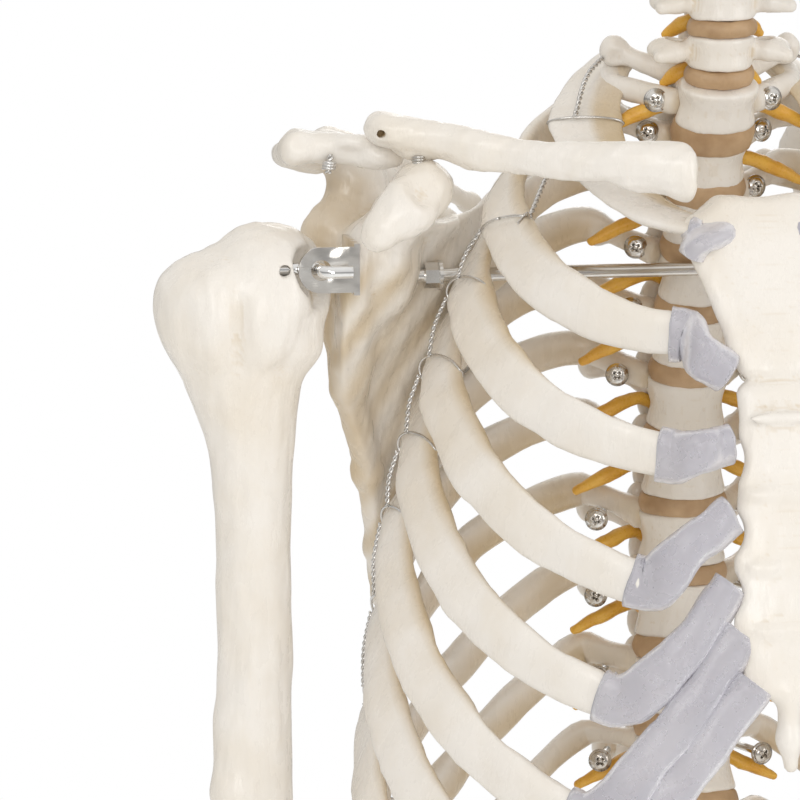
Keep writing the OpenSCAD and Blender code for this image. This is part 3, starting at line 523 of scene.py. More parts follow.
def bone_material(name, along):
    """Glossy ivory casting: uneven tint, a tan wash and painted shade in the hollows, and a finely pitted,
    dimpled gloss.
    """
    light, warm, wash_and_shade_color = (0.86, 0.82, 0.765, 1), (0.80, 0.735, 0.64, 1), (0.58, 0.44, 0.25, 1)
    m, t, s = shader(name, Roughness=0.3, IOR=1.5)
    place = node(t, "ShaderNodeTexCoord").outputs["Object"]
    stretched = node(t, "ShaderNodeMapping", {"Vector": place, "Scale": (1, 1, along)}).outputs[0]
    cloud = noise(t, place, 28, 4).outputs[0]
    streak = noise(t, stretched, 160, 5, 0.6).outputs[0]
    pits = noise(t, stretched, 620, 3, 0.6).outputs[0]
    hollow = node(t, "ShaderNodeAttribute", attribute_name="hollow").outputs["Fac"]
    tint = blend_color(t, spread(t, cloud, 0.42, 0.72), light, warm)
    tint = blend_color(t, spread(t, streak, 0.56, 0.78, 0, 0.35), tint, warm)
    # tan wash and painted shade in the hollows, made uneven by the cloud
    wash_and_shade_amount = math_of(t, "MULTIPLY", spread(t, hollow, 0.05, 0.75), spread(t, cloud, 0.3, 0.6, 0.55, 1.0))
    tint = blend_color(t, wash_and_shade_amount, tint, wash_and_shade_color)
    t.links.new(tint, s.inputs["Base Color"])
    gloss = spread(t, streak, 0.35, 0.7, 0.2, 0.42)
    t.links.new(gloss, s.inputs["Roughness"])
    bump = node(t, "ShaderNodeBump", {"Height": streak, "Strength": 0.35, "Distance": 0.0009})
    fine = node(t, "ShaderNodeBump", {"Height": pits, "Strength": 0.3, "Distance": 0.0003,
                                      "Normal": bump.outputs[0]})
    t.links.new(fine.outputs[0], s.inputs["Normal"])
    return m


def soft_plastic(name, light, dark, scale, roughness, **values):
    """Soft plastic with a cloudy tint and a faintly uneven gloss."""
    m, t, s = shader(name, **values)
    place = node(t, "ShaderNodeTexCoord").outputs["Object"]
    cloud = noise(t, place, scale, 4).outputs[0]
    grain = noise(t, place, scale * 9, 3).outputs[0]
    t.links.new(blend_color(t, spread(t, cloud, 0.35, 0.68), light, dark), s.inputs["Base Color"])
    t.links.new(spread(t, grain, 0.3, 0.7, roughness * 0.8, roughness * 1.25), s.inputs["Roughness"])
    bump = node(t, "ShaderNodeBump", {"Height": grain, "Strength": 0.25, "Distance": 0.0006})
    t.links.new(bump.outputs[0], s.inputs["Normal"])
    return m


def metal(name, light, dark, roughness, scale, stretch=(1, 1, 1), bump=0.03, wobble=0.0):
    """Metal with faint stains and fine scratches; wobble bends its reflections."""
    m, t, s = shader(name, Metallic=1.0)
    place = node(t, "ShaderNodeTexCoord").outputs["Object"]
    along = node(t, "ShaderNodeMapping", {"Vector": place, "Scale": stretch}).outputs[0]
    stain = noise(t, place, 60, 3).outputs[0]
    scratch = noise(t, along, scale, 5, 0.65).outputs[0]
    t.links.new(blend_color(t, spread(t, stain, 0.4, 0.7), light, dark), s.inputs["Base Color"])
    t.links.new(spread(t, scratch, 0.3, 0.75, roughness * 0.7, roughness * 1.5), s.inputs["Roughness"])
    wave = noise(t, place, 55, 2).outputs[0]
    bend = node(t, "ShaderNodeBump", {"Height": wave, "Strength": wobble, "Distance": 0.004})
    nudge = node(t, "ShaderNodeBump", {"Height": scratch, "Strength": bump, "Distance": 0.0002,
                                       "Normal": bend.outputs[0]})
    t.links.new(nudge.outputs[0], s.inputs["Normal"])
    return m


def paint_material():
    """Powder coat: orange peel and a slightly worn sheen."""
    m, t, s = shader("stand_paint", Specular_IOR_Level=0.5)
    place = node(t, "ShaderNodeTexCoord").outputs["Object"]
    dust = noise(t, place, 14, 5).outputs[0]
    peel = noise(t, place, 900, 2).outputs[0]
    t.links.new(blend_color(t, spread(t, dust, 0.4, 0.75), (0.78, 0.78, 0.76, 1), (0.7, 0.69, 0.66, 1)),
                s.inputs["Base Color"])
    t.links.new(spread(t, dust, 0.3, 0.7, 0.32, 0.46), s.inputs["Roughness"])
    bump = node(t, "ShaderNodeBump", {"Height": peel, "Strength": 0.25, "Distance": 0.0004})
    t.links.new(bump.outputs[0], s.inputs["Normal"])
    return m


MATERIAL = {
    "bone": bone_material("bone", 0.35),
    "skull": bone_material("skull_bone", 1.0),
    "cartilage": soft_plastic("cartilage", (0.66, 0.65, 0.70, 1), (0.58, 0.57, 0.63, 1), 26, 0.28,
                              Transmission_Weight=0.35, IOR=1.4),
    "disc": soft_plastic("disc", (0.56, 0.38, 0.22, 1), (0.4, 0.25, 0.13, 1), 90, 0.45),
    "nerve": soft_plastic("nerve", (0.86, 0.5, 0.08, 1), (0.72, 0.36, 0.04, 1), 120, 0.3),
    "steel": metal("steel", (0.72, 0.70, 0.67, 1), (0.56, 0.52, 0.47, 1), 0.15, 500, bump=0.03),
    "wire": metal("wire", (0.74, 0.73, 0.72, 1), (0.55, 0.53, 0.5, 1), 0.2, 500, bump=0.04),
    "bracket": metal("bracket", (0.82, 0.8, 0.77, 1), (0.68, 0.64, 0.59, 1), 0.13, 250, (1, 1, 6), 0.05, 0.5),
    "hook_chrome": metal("hook_chrome", (0.82, 0.82, 0.82, 1), (0.7, 0.7, 0.7, 1), 0.09, 200, bump=0.04),
    "pole_chrome": metal("pole_chrome", (0.8, 0.8, 0.81, 1), (0.77, 0.77, 0.78, 1), 0.16, 120,
                         (3, 3, 0.6), 0.03),
    "stand_paint": paint_material(),
    "rubber": soft_plastic("rubber", (0.035, 0.035, 0.036, 1), (0.06, 0.058, 0.055, 1), 60, 0.75),
}


# ---------- shared curves of the rib cage and spine, as in the CAD ----------

RIB_TOP_Z, CAGE_W = 1505, 127       # height of the first rib's head, and half the cage's greatest width


def rib_head_y(k):
    return look(k, ((1, 8), (2, 20), (4, 37), (6, 48), (8, 54), (9, 54), (12, 40)))


def rib_head_z(k):
    return RIB_TOP_Z - 20.8 * (k - 1) - 0.46 * (k - 1) * (k - 2)


def rib_arc(k, a):
    half_w = CAGE_W * look(k, ((1, 0.37), (2, 0.61), (3, 0.71), (4, 0.79), (6, 0.92), (8, 1), (11, 0.97),
                               (12, 0.82)))
    mid = look(k, ((1, 0), (3, -7), (8, -8), (12, -13)))
    back = look(k, ((1, 47), (3, 60), (5, 83), (7, 92), (8, 92), (12, 70)))
    front = look(k, ((1, 62), (2, 77), (4, 101), (6, 112), (7, 112), (12, 90)))
    a = np.radians(a)
    return np.stack([-half_w * np.sin(a), mid + np.where(np.cos(a) > 0, back, front) * np.cos(a)], -1)


def rib_lift(k, xy):
    x, y = xy[..., 0], xy[..., 1]
    slope = look(k, ((1, 0.55), (3, 0.61), (6, 0.79), (8, 0.81), (12, 0.62)))
    droop = look(k, ((1, 0.22), (4, 0.16), (6, 0.21), (8, 0.34), (11, 0.61), (12, 0.6)))
    return np.stack([x, y, rib_head_z(k) - (8 if k == 1
                                            else 0) + slope * (y - rib_head_y(k)) - droop * (-x - 14)], -1)


# angles round the cage: where the ribs' arcs start, and where each one ends
ARC_FROM, RIB_END = 38, ((1, 158), (3, 155), (7, 138), (10, 120), (12, 95))
NECK_POINTS, BLEND_POINTS, ARC_POINTS = 8, 14, 64       # on a rib's line


def rib_up(k, a):
    """The way up across a rib's face at angle a round the cage: the faces lean at the sides."""
    lean = np.radians(36 * look(k, ((1, 0), (2, 1.15), (4, 1), (6, 0.9), (9, 0.5), (12, 0)))
                      * np.interp(a, (ARC_FROM, 68, 105, 145), (0, 1, 1, 0.2)))
    return np.stack([np.sin(lean), 0 * lean, np.cos(lean)], -1)


def rib_line(k):
    """The rib's middle line: head and neck, a blend, and an arc of an ellipse to the front."""
    head = np.array([[-14, 0], [-22, 7], [-31, 15]], float) + (0, rib_head_y(k))
    start = spline(head, NECK_POINTS)
    p, q = head[-1], rib_arc(k, ARC_FROM)
    m, n = 25 * unit((-1, 0.9)), 25 * unit(rib_arc(k, ARC_FROM + 1) - q)
    t = np.linspace(0, 1, BLEND_POINTS)[1:-1, None]
    middle = ((2 * t**3 - 3 * t**2 + 1) * p + (t**3 - 2 * t**2 + t) * m
              + (3 * t**2 - 2 * t**3) * q + (t**3 - t**2) * n)
    front = rib_arc(k, np.linspace(ARC_FROM, look(k, RIB_END), ARC_POINTS))
    return rib_lift(k, np.vstack([start, middle, front]))


# where a vertebra's body is, how it tilts, its half width and half depth, and its height
Place = namedtuple("Place", "y z tilt half_x half_y high")


def thoracic(k):
    return Place(rib_head_y(k) - 6, rib_head_z(k) - 8, look(k, ((1, 26), (5, 14), (8, 2), (12, -13))),
                 look(k, ((1, 15), (4, 13.5), (12, 20))), look(k, ((1, 9.5), (5, 12), (12, 15))),
                 15.5 + 0.55 * k)


def lumbar(k):
    return Place(18 + 1.4 * (k - 4)**2, 1187 - 33.3 * (k - 1), 5 * (k - 4), 23, 16, 25)


def cervical(k):
    return Place(0.75 * (k - 4.5)**2 - 7, 1516 + 17.4 * (7 - k), -4 if k == 1 else 4 * (k - 4.5), 12, 8, 12)


def set_in_spine(skin, v):
    return moved(skin, turned(X, v.tilt), (0, v.y, v.z))


# ---------- ribs ----------

def rib(k):
    """One rib: round neck, a tubercle, and a flat curved body with a rounded front end."""
    line = rib_line(k)
    n = len(line)
    s = np.linspace(0, 1, n)
    i = np.arange(n)
    if k == 1:
        across = curve(i, [0, 8, 16, 30, 60, n - 1], [5, 4.5, 7.5, 11.5, 12.5, 12])
        along = curve(i, [0, 8, 20, n - 1], [4.5, 4, 3, 3.4])
    else:
        small = 0.75 if k > 10 else 1
        across = curve(i, [0, 4, 9, 13, 24, n - 8, n - 1],
                       vec(5, 3.6, 5, 4.2, 3.4, 3.2, 3.4) * (1 if k < 11 else 0.85))
        along = curve(i, [0, 4, 9, 13, 28, n - 14, n - 1], vec(5.4, 4.4, 6.4, 6.6, 8.8, 8.9, 7.4) * small)
        if k > 10:
            fade = np.clip((1 - s) / 0.25, 0.25, 1)
            across, along = across * fade, along * fade
    round_cage = np.r_[np.zeros(n - ARC_POINTS), np.linspace(ARC_FROM, look(k, RIB_END), ARC_POINTS)]
    sides = 24
    points, faces, hollow = sweep(line, across, along, rib_up(k, round_cage), sides, 0.8 if k > 1 else 0.9)
    # the tan wash and a painted shade lie on the inner face; sweep adds three rings at each end
    nearest = line[np.clip(np.repeat(np.arange(-3, n + 3), sides), 0, n - 1)]
    middle = vec(0, -10, 0) - nearest * (1, 1, 0)
    middle /= np.linalg.norm(middle, axis=1)[:, None]
    inner = ((points[:-2] - nearest) * middle).sum(1) - 0.15 * (points[:-2, 2] - nearest[:, 2])
    hollow[:-2] = np.clip(inner / 4, 0, 1) * 0.62
    return points, faces, hollow


def ribs():
    bone_pair("ribs", gather([rib(k) for k in range(1, 13)]), "torso", ((0.45, 26), (0.12, 7)))


# ---------- spine ----------

def vertebra(v, wing, wing_back, spine_out, spine_down, canal, kind):
    """A vertebra in its own frame: body, pedicles, joint pillars, laminae, side processes and spine."""
    w, d, hh = v.half_x, v.half_y, v.high / 2
    arch_x, arch_y = w * 0.6, d + canal
    reach = max(wing, w + 2) + 8
    clay = Clay((-reach, -d - 3, -spine_down - 14 if kind != "lumbar" else -22),
                (reach, arch_y + spine_out + 5, 22), 0.9)
    clay.put(loft([(-hh, 0, 0, w, d), (-hh * 0.55, 0, 0, w * 0.93, d * 0.93), (0, 0, 0, w * 0.87, d * 0.88),
                   (hh * 0.55, 0, 0, w * 0.93, d * 0.93), (hh, 0, 0, w, d)], end=2.0), 1)
    big = {"cervical": 0.72, "thoracic": 1.0, "lumbar": 1.3}[kind]
    tip_y = arch_y - 4 + wing_back
    for s in (-1, 1):
        clay.put(cone((s * arch_x, d * 0.4, 3), (s * arch_x * 1.05, arch_y, 1), 4.0 * big, 3.6 * big), 3)
        clay.put(oval((s * arch_x * 1.1, arch_y, hh * 0.9), (5 * big, 3.6 * big, 7 * big), turned(X, 12)), 3)
        clay.put(oval((s * arch_x * 0.95, arch_y + 2, -hh * 0.9), (4.6 * big, 3.4 * big, 7.5 * big),
                      turned(X, 12)), 3)
        clay.put(cone((s * arch_x, arch_y, 0), (0, arch_y + 6, -2), 4 * big, 4.4 * big), 4)
        if kind == "cervical":
            clay.put(oval((s * (wing - 6), d * 0.3, 0), (8, 7, 4.5)), 3)
            clay.put(cone((s * (wing - 7), -2, 0), (s * (wing - 1), -4, -1), 3, 2.4), 2)
            clay.cut(cone((s * (wing - 7.5), d * 0.3, -12), (s * (wing - 7.5), d * 0.3, 12), 2.6), 1)
        else:
            clay.put(cone((s * arch_x, arch_y - 3, 1), (s * (wing - 4), tip_y, 4), 4.2 * big, 3.2 * big), 4)
            clay.put(oval((s * (wing - 4), tip_y, 4),
                          vec(5.2, 5.0, 6.2) * (1 if kind == "thoracic" else 0.8)), 3)
            if kind == "thoracic":
                clay.cut(oval((s * (wing - 3), tip_y - 6.5, 4), (4, 2.5, 4)), 1)
    if kind == "lumbar":
        clay.put(slab((0, arch_y + spine_out * 0.58, -spine_down), (3.2, spine_out * 0.36, 9.5), edge=3), 5)
        clay.put(oval((0, arch_y + spine_out - 3, -spine_down), (4.4, 3.5, 9)), 3)
    else:
        tip = (0, arch_y + spine_out - 2, -spine_down - 2)
        clay.put(cone((0, arch_y + 4, -2), tip, 4.4 * big, 2.8 * big), 4)
        clay.put(cone((0, arch_y + 5, -5), (0, tip[1], tip[2] - 2), 3 * big, 2.6 * big), 4)
        if kind == "cervical":
            for s in (-1, 1):
                clay.put(cone((s * 1.5, tip[1] - 3, tip[2]), (s * 4, tip[1] + 2, tip[2] - 1), 2.4, 1.9), 2)
        else:
            clay.put(oval(tip, (3.6, 3.6, 4.6)), 2)
    clay.cut(cone((0, d + canal * 0.5, -40), (0, d + canal * 0.5, 40), canal * 0.72, canal * 0.72), 2)
    return clay


def thoracic_vertebrae():
    made = []
    for k in range(1, 13):
        v = thoracic(k)
        clay = vertebra(v, look(k, ((1, 36), (10, 30), (12, 22))), 16, 30,
                        look(k, ((1, 10), (4, 24), (9, 24), (12, 8))), 9, "thoracic")
        made.append(set_in_spine(clay.skin(3), v))
    piece("thoracic_castings", gather(made), "thoracic_vertebrae")


def lumbar_vertebrae():
    made = [set_in_spine(vertebra(lumbar(k), 40, 4, 34, 4, 12, "lumbar").skin(4), lumbar(k))
            for k in range(1, 6)]
    piece("lumbar_castings", gather(made), "lumbar_vertebrae")


def cervical_vertebrae():
    made = []
    for k in range(2, 8):
        clay = vertebra(cervical(k), 24, -6, look(k, ((2, 18), (5, 14), (7, 28))), 6, 9, "cervical")
        if k == 2:
            # room for the peg that the ring above turns on
            clay.f = np.pad(clay.f, ((0, 0), (0, 0), (0, 14)), constant_values=FAR)
            clay.put(cone((0, -1, 4), (0, -2, 20), 5, 4.2), 3)
        made.append(set_in_spine(clay.skin(3), cervical(k)))
    atlas = Clay((-40, -24, -12), (40, 26, 12), 0.9)
    chain(atlas, [(19 * math.cos(a), 2 + 16.5 * math.sin(a), 0, 4.6)
                  for a in np.linspace(0, 2 * math.pi, 25)], 2)
    for s in (-1, 1):
        atlas.put(oval((s * 19, -1, 0), (7, 10, 6.5)), 3)
        atlas.put(cone((s * 22, 3, 0), (s * 35, 5, 0), 4.4, 4), 4)
        atlas.cut(cone((s * 28, 4, -12), (s * 28, 4, 12), 2.8), 1)
    made.append(set_in_spine(atlas.skin(3), cervical(1)))
    piece("cervical_castings", gather(made), "cervical_vertebrae")


def disc(top, low):
    """The pad between two vertebrae."""
    w, d = min(top.half_x, low.half_x) + 0.3, min(top.half_y, low.half_y) + 0.3
    p, q = vec(0, top.y, top.z - top.high / 2), vec(0, low.y, low.z + low.high / 2)
    half = max(np.linalg.norm(p - q) / 2, 1.6)
    clay = Clay((-w - 3, -d - 3, -half - 2), (w + 3, d + 3, half + 2), 0.9)
    clay.put(loft([(-half, 0, 0, w - 0.6, d - 0.6), (0, 0, 0, w + 0.5, d + 0.5),
                   (half, 0, 0, w - 0.6, d - 0.6)], end=1.2), 1)
    return moved(clay.skin(3), turned(X, (top.tilt + low.tilt) / 2), mix(p, q, 0.5))


def discs():
    spine = [cervical(k) for k in range(2, 8)] + [thoracic(k) for k in range(1, 13)] + [lumbar(k)
                                                                                        for k in range(1, 6)]
    made = [disc(a, b) for a, b in zip(spine, spine[1:])]
    piece("disc_pads", gather(made), "intervertebral_discs", ((0.15, 8),), slot="disc")


def nerve(v, reach):
    """A nerve root: it leaves the canal, swells, and tapers out and down."""
    back_y = v.y + v.half_y
    root = vec(-v.half_x * 0.45, back_y + 3, v.z - v.high * 0.5)
    if reach > 30:
        root = root + (0, 0, 5)
        ways = [(-14, back_y + 1, v.z - 1), (-26, v.y + 12, v.z - 4.5), (-reach, v.y + 13, v.z - 10.5)]
    else:
        ways = [root + vec(-reach * 0.5, 1.5, -reach * 0.2), root + vec(-reach, 4, -reach * 0.55)]
    path = spline([root + (4, 1, 2), root, *ways], 22)
    r = curve(np.linspace(0, 1, 22), [0, 0.35, 0.7, 1], [2.2, 2.9, 3.2, 1.9])
    return sweep(path, r, r * 0.85, sides=12)


def nerves():
    made = ([nerve(cervical(k), 12) for k in range(3, 8)] + [nerve(thoracic(k), 38) for k in range(1, 13)]
            + [nerve(lumbar(k), 20) for k in range(1, 6)])
    piece("nerve_roots", both_sides(made), "spinal_nerves", ((0.2, 6),), slot="nerve")


# ---------- breastbone and cartilages ----------

def sternum():
    clay = Clay((-32, -116, 1274), (32, -50, 1478), 1.0)
    clay.put(loft([(1412, 0, -82, 15, 5), (1425, 0, -78, 17, 5.5), (1442, 0, -71, 23, 6.2),
                   (1458, 0, -64, 28, 7), (1472, 0, -58, 24, 6)], end=4), 3)
    clay.put(loft([(1306, 0, -107, 12, 4.5), (1320, 0, -105.5, 17.5, 5), (1345, 0, -102, 18.5, 5),
                   (1375, 0, -95, 16, 5), (1400, 0, -87, 14, 5), (1412, 0, -83, 14.5, 5)], end=5), 2)
    chain(clay, [(0, -107, 1308, 4), (0, -107, 1292, 3.6), (1, -106, 1283, 2.4)], 5)
    clay.cut(oval((0, -58, 1481), (13, 12, 9)), 5)
    for s in (-1, 1):
        clay.cut(oval((s * 25, -62, 1474), (9, 9, 7)), 4)
        for z, y, x in ((1414, -82, 19), (1386, -91, 18.5), (1362, -97, 19.5), (1342, -101, 21.5),
                        (1322, -105, 20)):
            clay.cut(oval((s * x, y, z), (4.5, 8, 5)), 4)
    for z in (1400, 1375, 1351, 1330):
        clay.put(oval((0, -90 - (1400 - z) * 0.22 - 3.5, z), (12, 1.6, 1.8)), 3)
    piece("sternum_casting", clay.skin(4), "sternum")


def rib_tip(k):
    return rib_line(k)[-1]


def cartilage_end(k):
    if k == 1:
        return vec(-25, -66, 1452)
    if k <= 7:
        return vec(look(k, ((2, -17), (5, -19), (7, -12))), look(k, ((2, -82), (4, -98), (7, -107))),
                   look(k, ((2, 1414), (5, 1345), (7, 1312))))
    return mix(rib_tip(k - 1), cartilage_mid(k - 1), 0.75)


def cartilage_mid(k):
    return mix(rib_tip(k), cartilage_end(k), 0.5) + (-2, -5, -8 if k > 4 else 0)


def cartilage(k):
    """A soft bar that grips the rib's end like a sleeve and runs to the breastbone or to the bar above."""
    line = rib_line(k)
    back = line[-1] - 3.5 * unit(line[-1] - line[-3])
    t = np.linspace(0, 1, 34)
    path = spline([back, line[-1] + 2 * unit(line[-1] - line[-3]), cartilage_mid(k),
                   cartilage_end(k)], len(t))
    r = 5.2 if k > 7 else 7.8
    along = curve(t, [0, 0.18, 0.4, 1], [9.6, 9.4, r + 0.4, r - 0.6])
    across = curve(t, [0, 0.18, 0.4, 1], [4.7, 4.8, 4.5, 4.0])
    if k == 1:
        across, along = curve(t, [0, 0.3, 1], [13.6, 11, 7]), along * 0 + 5.2
    up = mix(rib_up(k, look(k, RIB_END)), vec(*Z), t[:, None]**0.5)
    return sweep(path, across, along, up=up, sides=20, square=0.85, round_ends=False)


def cartilages():
    piece("cartilage_bars", both_sides([cartilage(k) for k in range(1, 11)]), "costal_cartilages",
          ((0.4, 18), (0.12, 5)), slot="cartilage")


# ---------- rib hardware ----------

def screw_head():
    """A pan head with a cross recess, facing -Y, seated at y = 0."""
    r, high = 3.5, 2.3
    clay = Clay((-r - 1, -high - 1, -r - 1), (r + 1, 1.4, r + 1), 0.24)
    clay.put((lambda x, y, z: np.maximum(np.sqrt(x**2 + z**2 + 0 * y) - r,
                                         np.maximum(y - 0.6, -y - high * 0.45)),
              vec(-r, -high * 0.45, -r), vec(r, 0.6, r)), 0.4)
    clay.put(oval((0, -high * 0.35, 0), (r * 0.96, high * 0.62, r * 0.96)), 0.4)
    for half in ((r * 0.52, high, 0.42), (0.42, high, r * 0.52)):
        clay.cut(slab((0, -high, 0), half, edge=0.1), 0.3)
    clay.cut(cone((0, -high, 0), (0, -0.2, 0), 0.9, 0.2), 0.2)
    return clay.skin(0.5, passes=0)


def rib_screws():
    """A screw through each rib's neck, with a thin washer."""
    head = screw_head()
    washer = sweep([vec(0, -0.6, 0), vec(0, 0.3, 0)], 4.3, 4.3, sides=28, round_ends=False)
    made = []
    for k in range(1, 13):
        across = look(k, ((5, -21), (6, -25), (7, -28), (8, -31)))
        at = rib_lift(k, vec(across, rib_head_y(k) + 4.5))
        aim = turned(Z, -20 + 5 * math.sin(2.4 * k))
        made.append(moved(head, aim @ turned(Y, 37 * k), at + (0, -5.2, 0)))
        made.append(sweep([at + (0, -5.3, 0), at + (2.5, 2, 0), at + (6, 10, 0)], 1.5, 1.5, sides=12))
        made.append(moved(washer, aim, at + (0, -4.9, 0)))
    piece("neck_screws", both_sides(made), "rib_screws", (), slot="steel")


WIRE_R = 0.5        # radius of the cage's wire


def twist(path, pitch=4.6, r=WIRE_R, gap=1.0):
    """Two thin wires wound round each other along a path."""
    path = np.asarray(path, float)
    length = np.r_[0, np.cumsum(np.linalg.norm(np.diff(path, axis=0), axis=1))]
    count = max(8, int(length[-1] / 0.75))
    s = np.linspace(0, length[-1], count)
    line = np.stack([np.interp(s, length, path[:, i]) for i in range(3)], 1)
    t = np.gradient(line, axis=0)
    t /= np.linalg.norm(t, axis=1)[:, None]
    u = np.cross(t, (0.13, 1, 0.21))
    u /= np.linalg.norm(u, axis=1)[:, None]
    v = np.cross(t, u)
    made = []
    for phase in (0, math.pi):
        a = s / pitch * 2 * math.pi + phase
        made.append(sweep(line + gap * r * (np.cos(a)[:, None] * u + np.sin(a)[:, None] * v), r, r,
                          up=(0.3, 1, 0.1), sides=8))
    return made


def wire_spot(k):
    """Where the wire meets rib k: the point, the ways across, up and along the rib there."""
    line = rib_line(k)
    round_side = look(k, ((1, 80.5), (2, 92), (3, 84.5), (4, 83.5), (5, 80), (6, 74.5), (10, 66)))
    want = rib_lift(k, rib_arc(k, round_side))
    i = int(np.argmin(np.linalg.norm(line - want, axis=1)))
    t = unit(line[i + 1] - line[i - 1])
    u = unit(np.cross(t, rib_up(k, round_side)))
    return line[i], u, unit(np.cross(t, u)), t


def rib_wires():
    """A twisted wire from rib to rib, with a loop round each rib."""
    made, ends = [], []
    for k in range(1, 11):
        c, u, v, t = wire_spot(k)
        if u[0] > 0:
            u = -u
        if v[2] < 0:
            v = -v
        a, b = (13.4, 4.2) if k == 1 else (5.0, 9.7)
        slant = 2 if k == 1 else 5.5
        bow = 0 if k < 3 else 6
        angles = np.linspace(0, 2 * math.pi, 49)
        ring = (c + np.cos(angles)[:, None] * a * u + np.sin(angles)[:, None] * b * v
                + (slant * np.sin(angles) - bow * np.maximum(np.cos(angles), 0))[:, None] * t)
        made.append(sweep(ring, WIRE_R, WIRE_R, up=tuple(t), sides=8, round_ends=False))
        high = c + b * v + 0.3 * a * u + slant * t if k < 3 else c + 1.15 * a * u - bow * t
        ends.append((high, c - b * v + 0.3 * a * u - slant * t))
    for (_, low), (high, _) in zip(ends, ends[1:]):
        made += twist(spline([low, mix(low, high, 0.5) + (-1.2, 0, 0), high], 24))
    top = ends[0][0]
    for tail in (vec(-4, -10, 2), vec(-6, -9, -1)):
        k3 = ends[1][0]
        made.append(sweep(spline([k3, k3 + tail * 0.5 + (0, 0, 1), k3 + tail], 10), WIRE_R, WIRE_R,
                          up=Z, sides=8))
    made += twist(spline([top, top + (8, 14, 14), top + (20, 26, 22)], 20))
    piece("cage_wires", both_sides(made), "rib_wires", (), slot="wire")


# ---------- shoulder girdle ----------

BLADE_OUTLINE = vec(
    [-47, 1484], [-43, 1474], [-48, 1458], [-54, 1438], [-62, 1412], [-72, 1384], [-84, 1352], [-96, 1325],
    [-106, 1308], [-113, 1307], [-116, 1320], [-117, 1340], [-121, 1362], [-129, 1384], [-134, 1402],
    [-135, 1422], [-132, 1440], [-124, 1456], [-112, 1459], [-98, 1455], [-84, 1457], [-70, 1464],
    [-57, 1475])
BLADE_SPOTS = vec(
    [-45, 1480, 75], [-50, 1450, 78], [-60, 1412, 81], [-80, 1360, 80], [-108, 1310, 60], [-62, 1470, 58],
    [-72, 1445, 52], [-78, 1410, 57], [-92, 1370, 59], [-98, 1455, 21], [-104, 1430, 22], [-104, 1400, 36],
    [-113, 1350, 47], [-133, 1425, 9], [-131, 1392, 22], [-120, 1362, 36], [-126, 1450, 10])


def blade_ridges(u, v):
    """Slanting waves of the blade's face, 1 on a ridge and -1 in a hollow, of uneven strength."""
    phase = (u * 0.85 - v * 0.53) * 2 * math.pi / 12.6 + 0.8 * np.sin(v / 19 + u / 40)
    return np.sin(phase) * (0.72 + 0.28 * np.sin(u / 11 - v / 26))


def blade_half(u, v, inwards):
    """Half thickness of the blade: a thin ridged middle, a thick side border and a rounded inner edge."""
    border = 3.4 * np.exp(-(inwards / 7.0)**2) * (u < -88)
    inner = 0.9 * np.exp(-(inwards / 4.0)**2)
    neck = 3.0 * np.clip((-100 - u) / 22, 0, 1) * np.clip((v - 1398) / 20, 0, 1)
    ridges = 1.5 * blade_ridges(u, v) * np.clip((inwards - 5) / 15, 0, 1) * np.clip((u + 124) / 24, 0.1, 1)
    return 1.6 + border + inner + neck + np.maximum(ridges, -0.5)


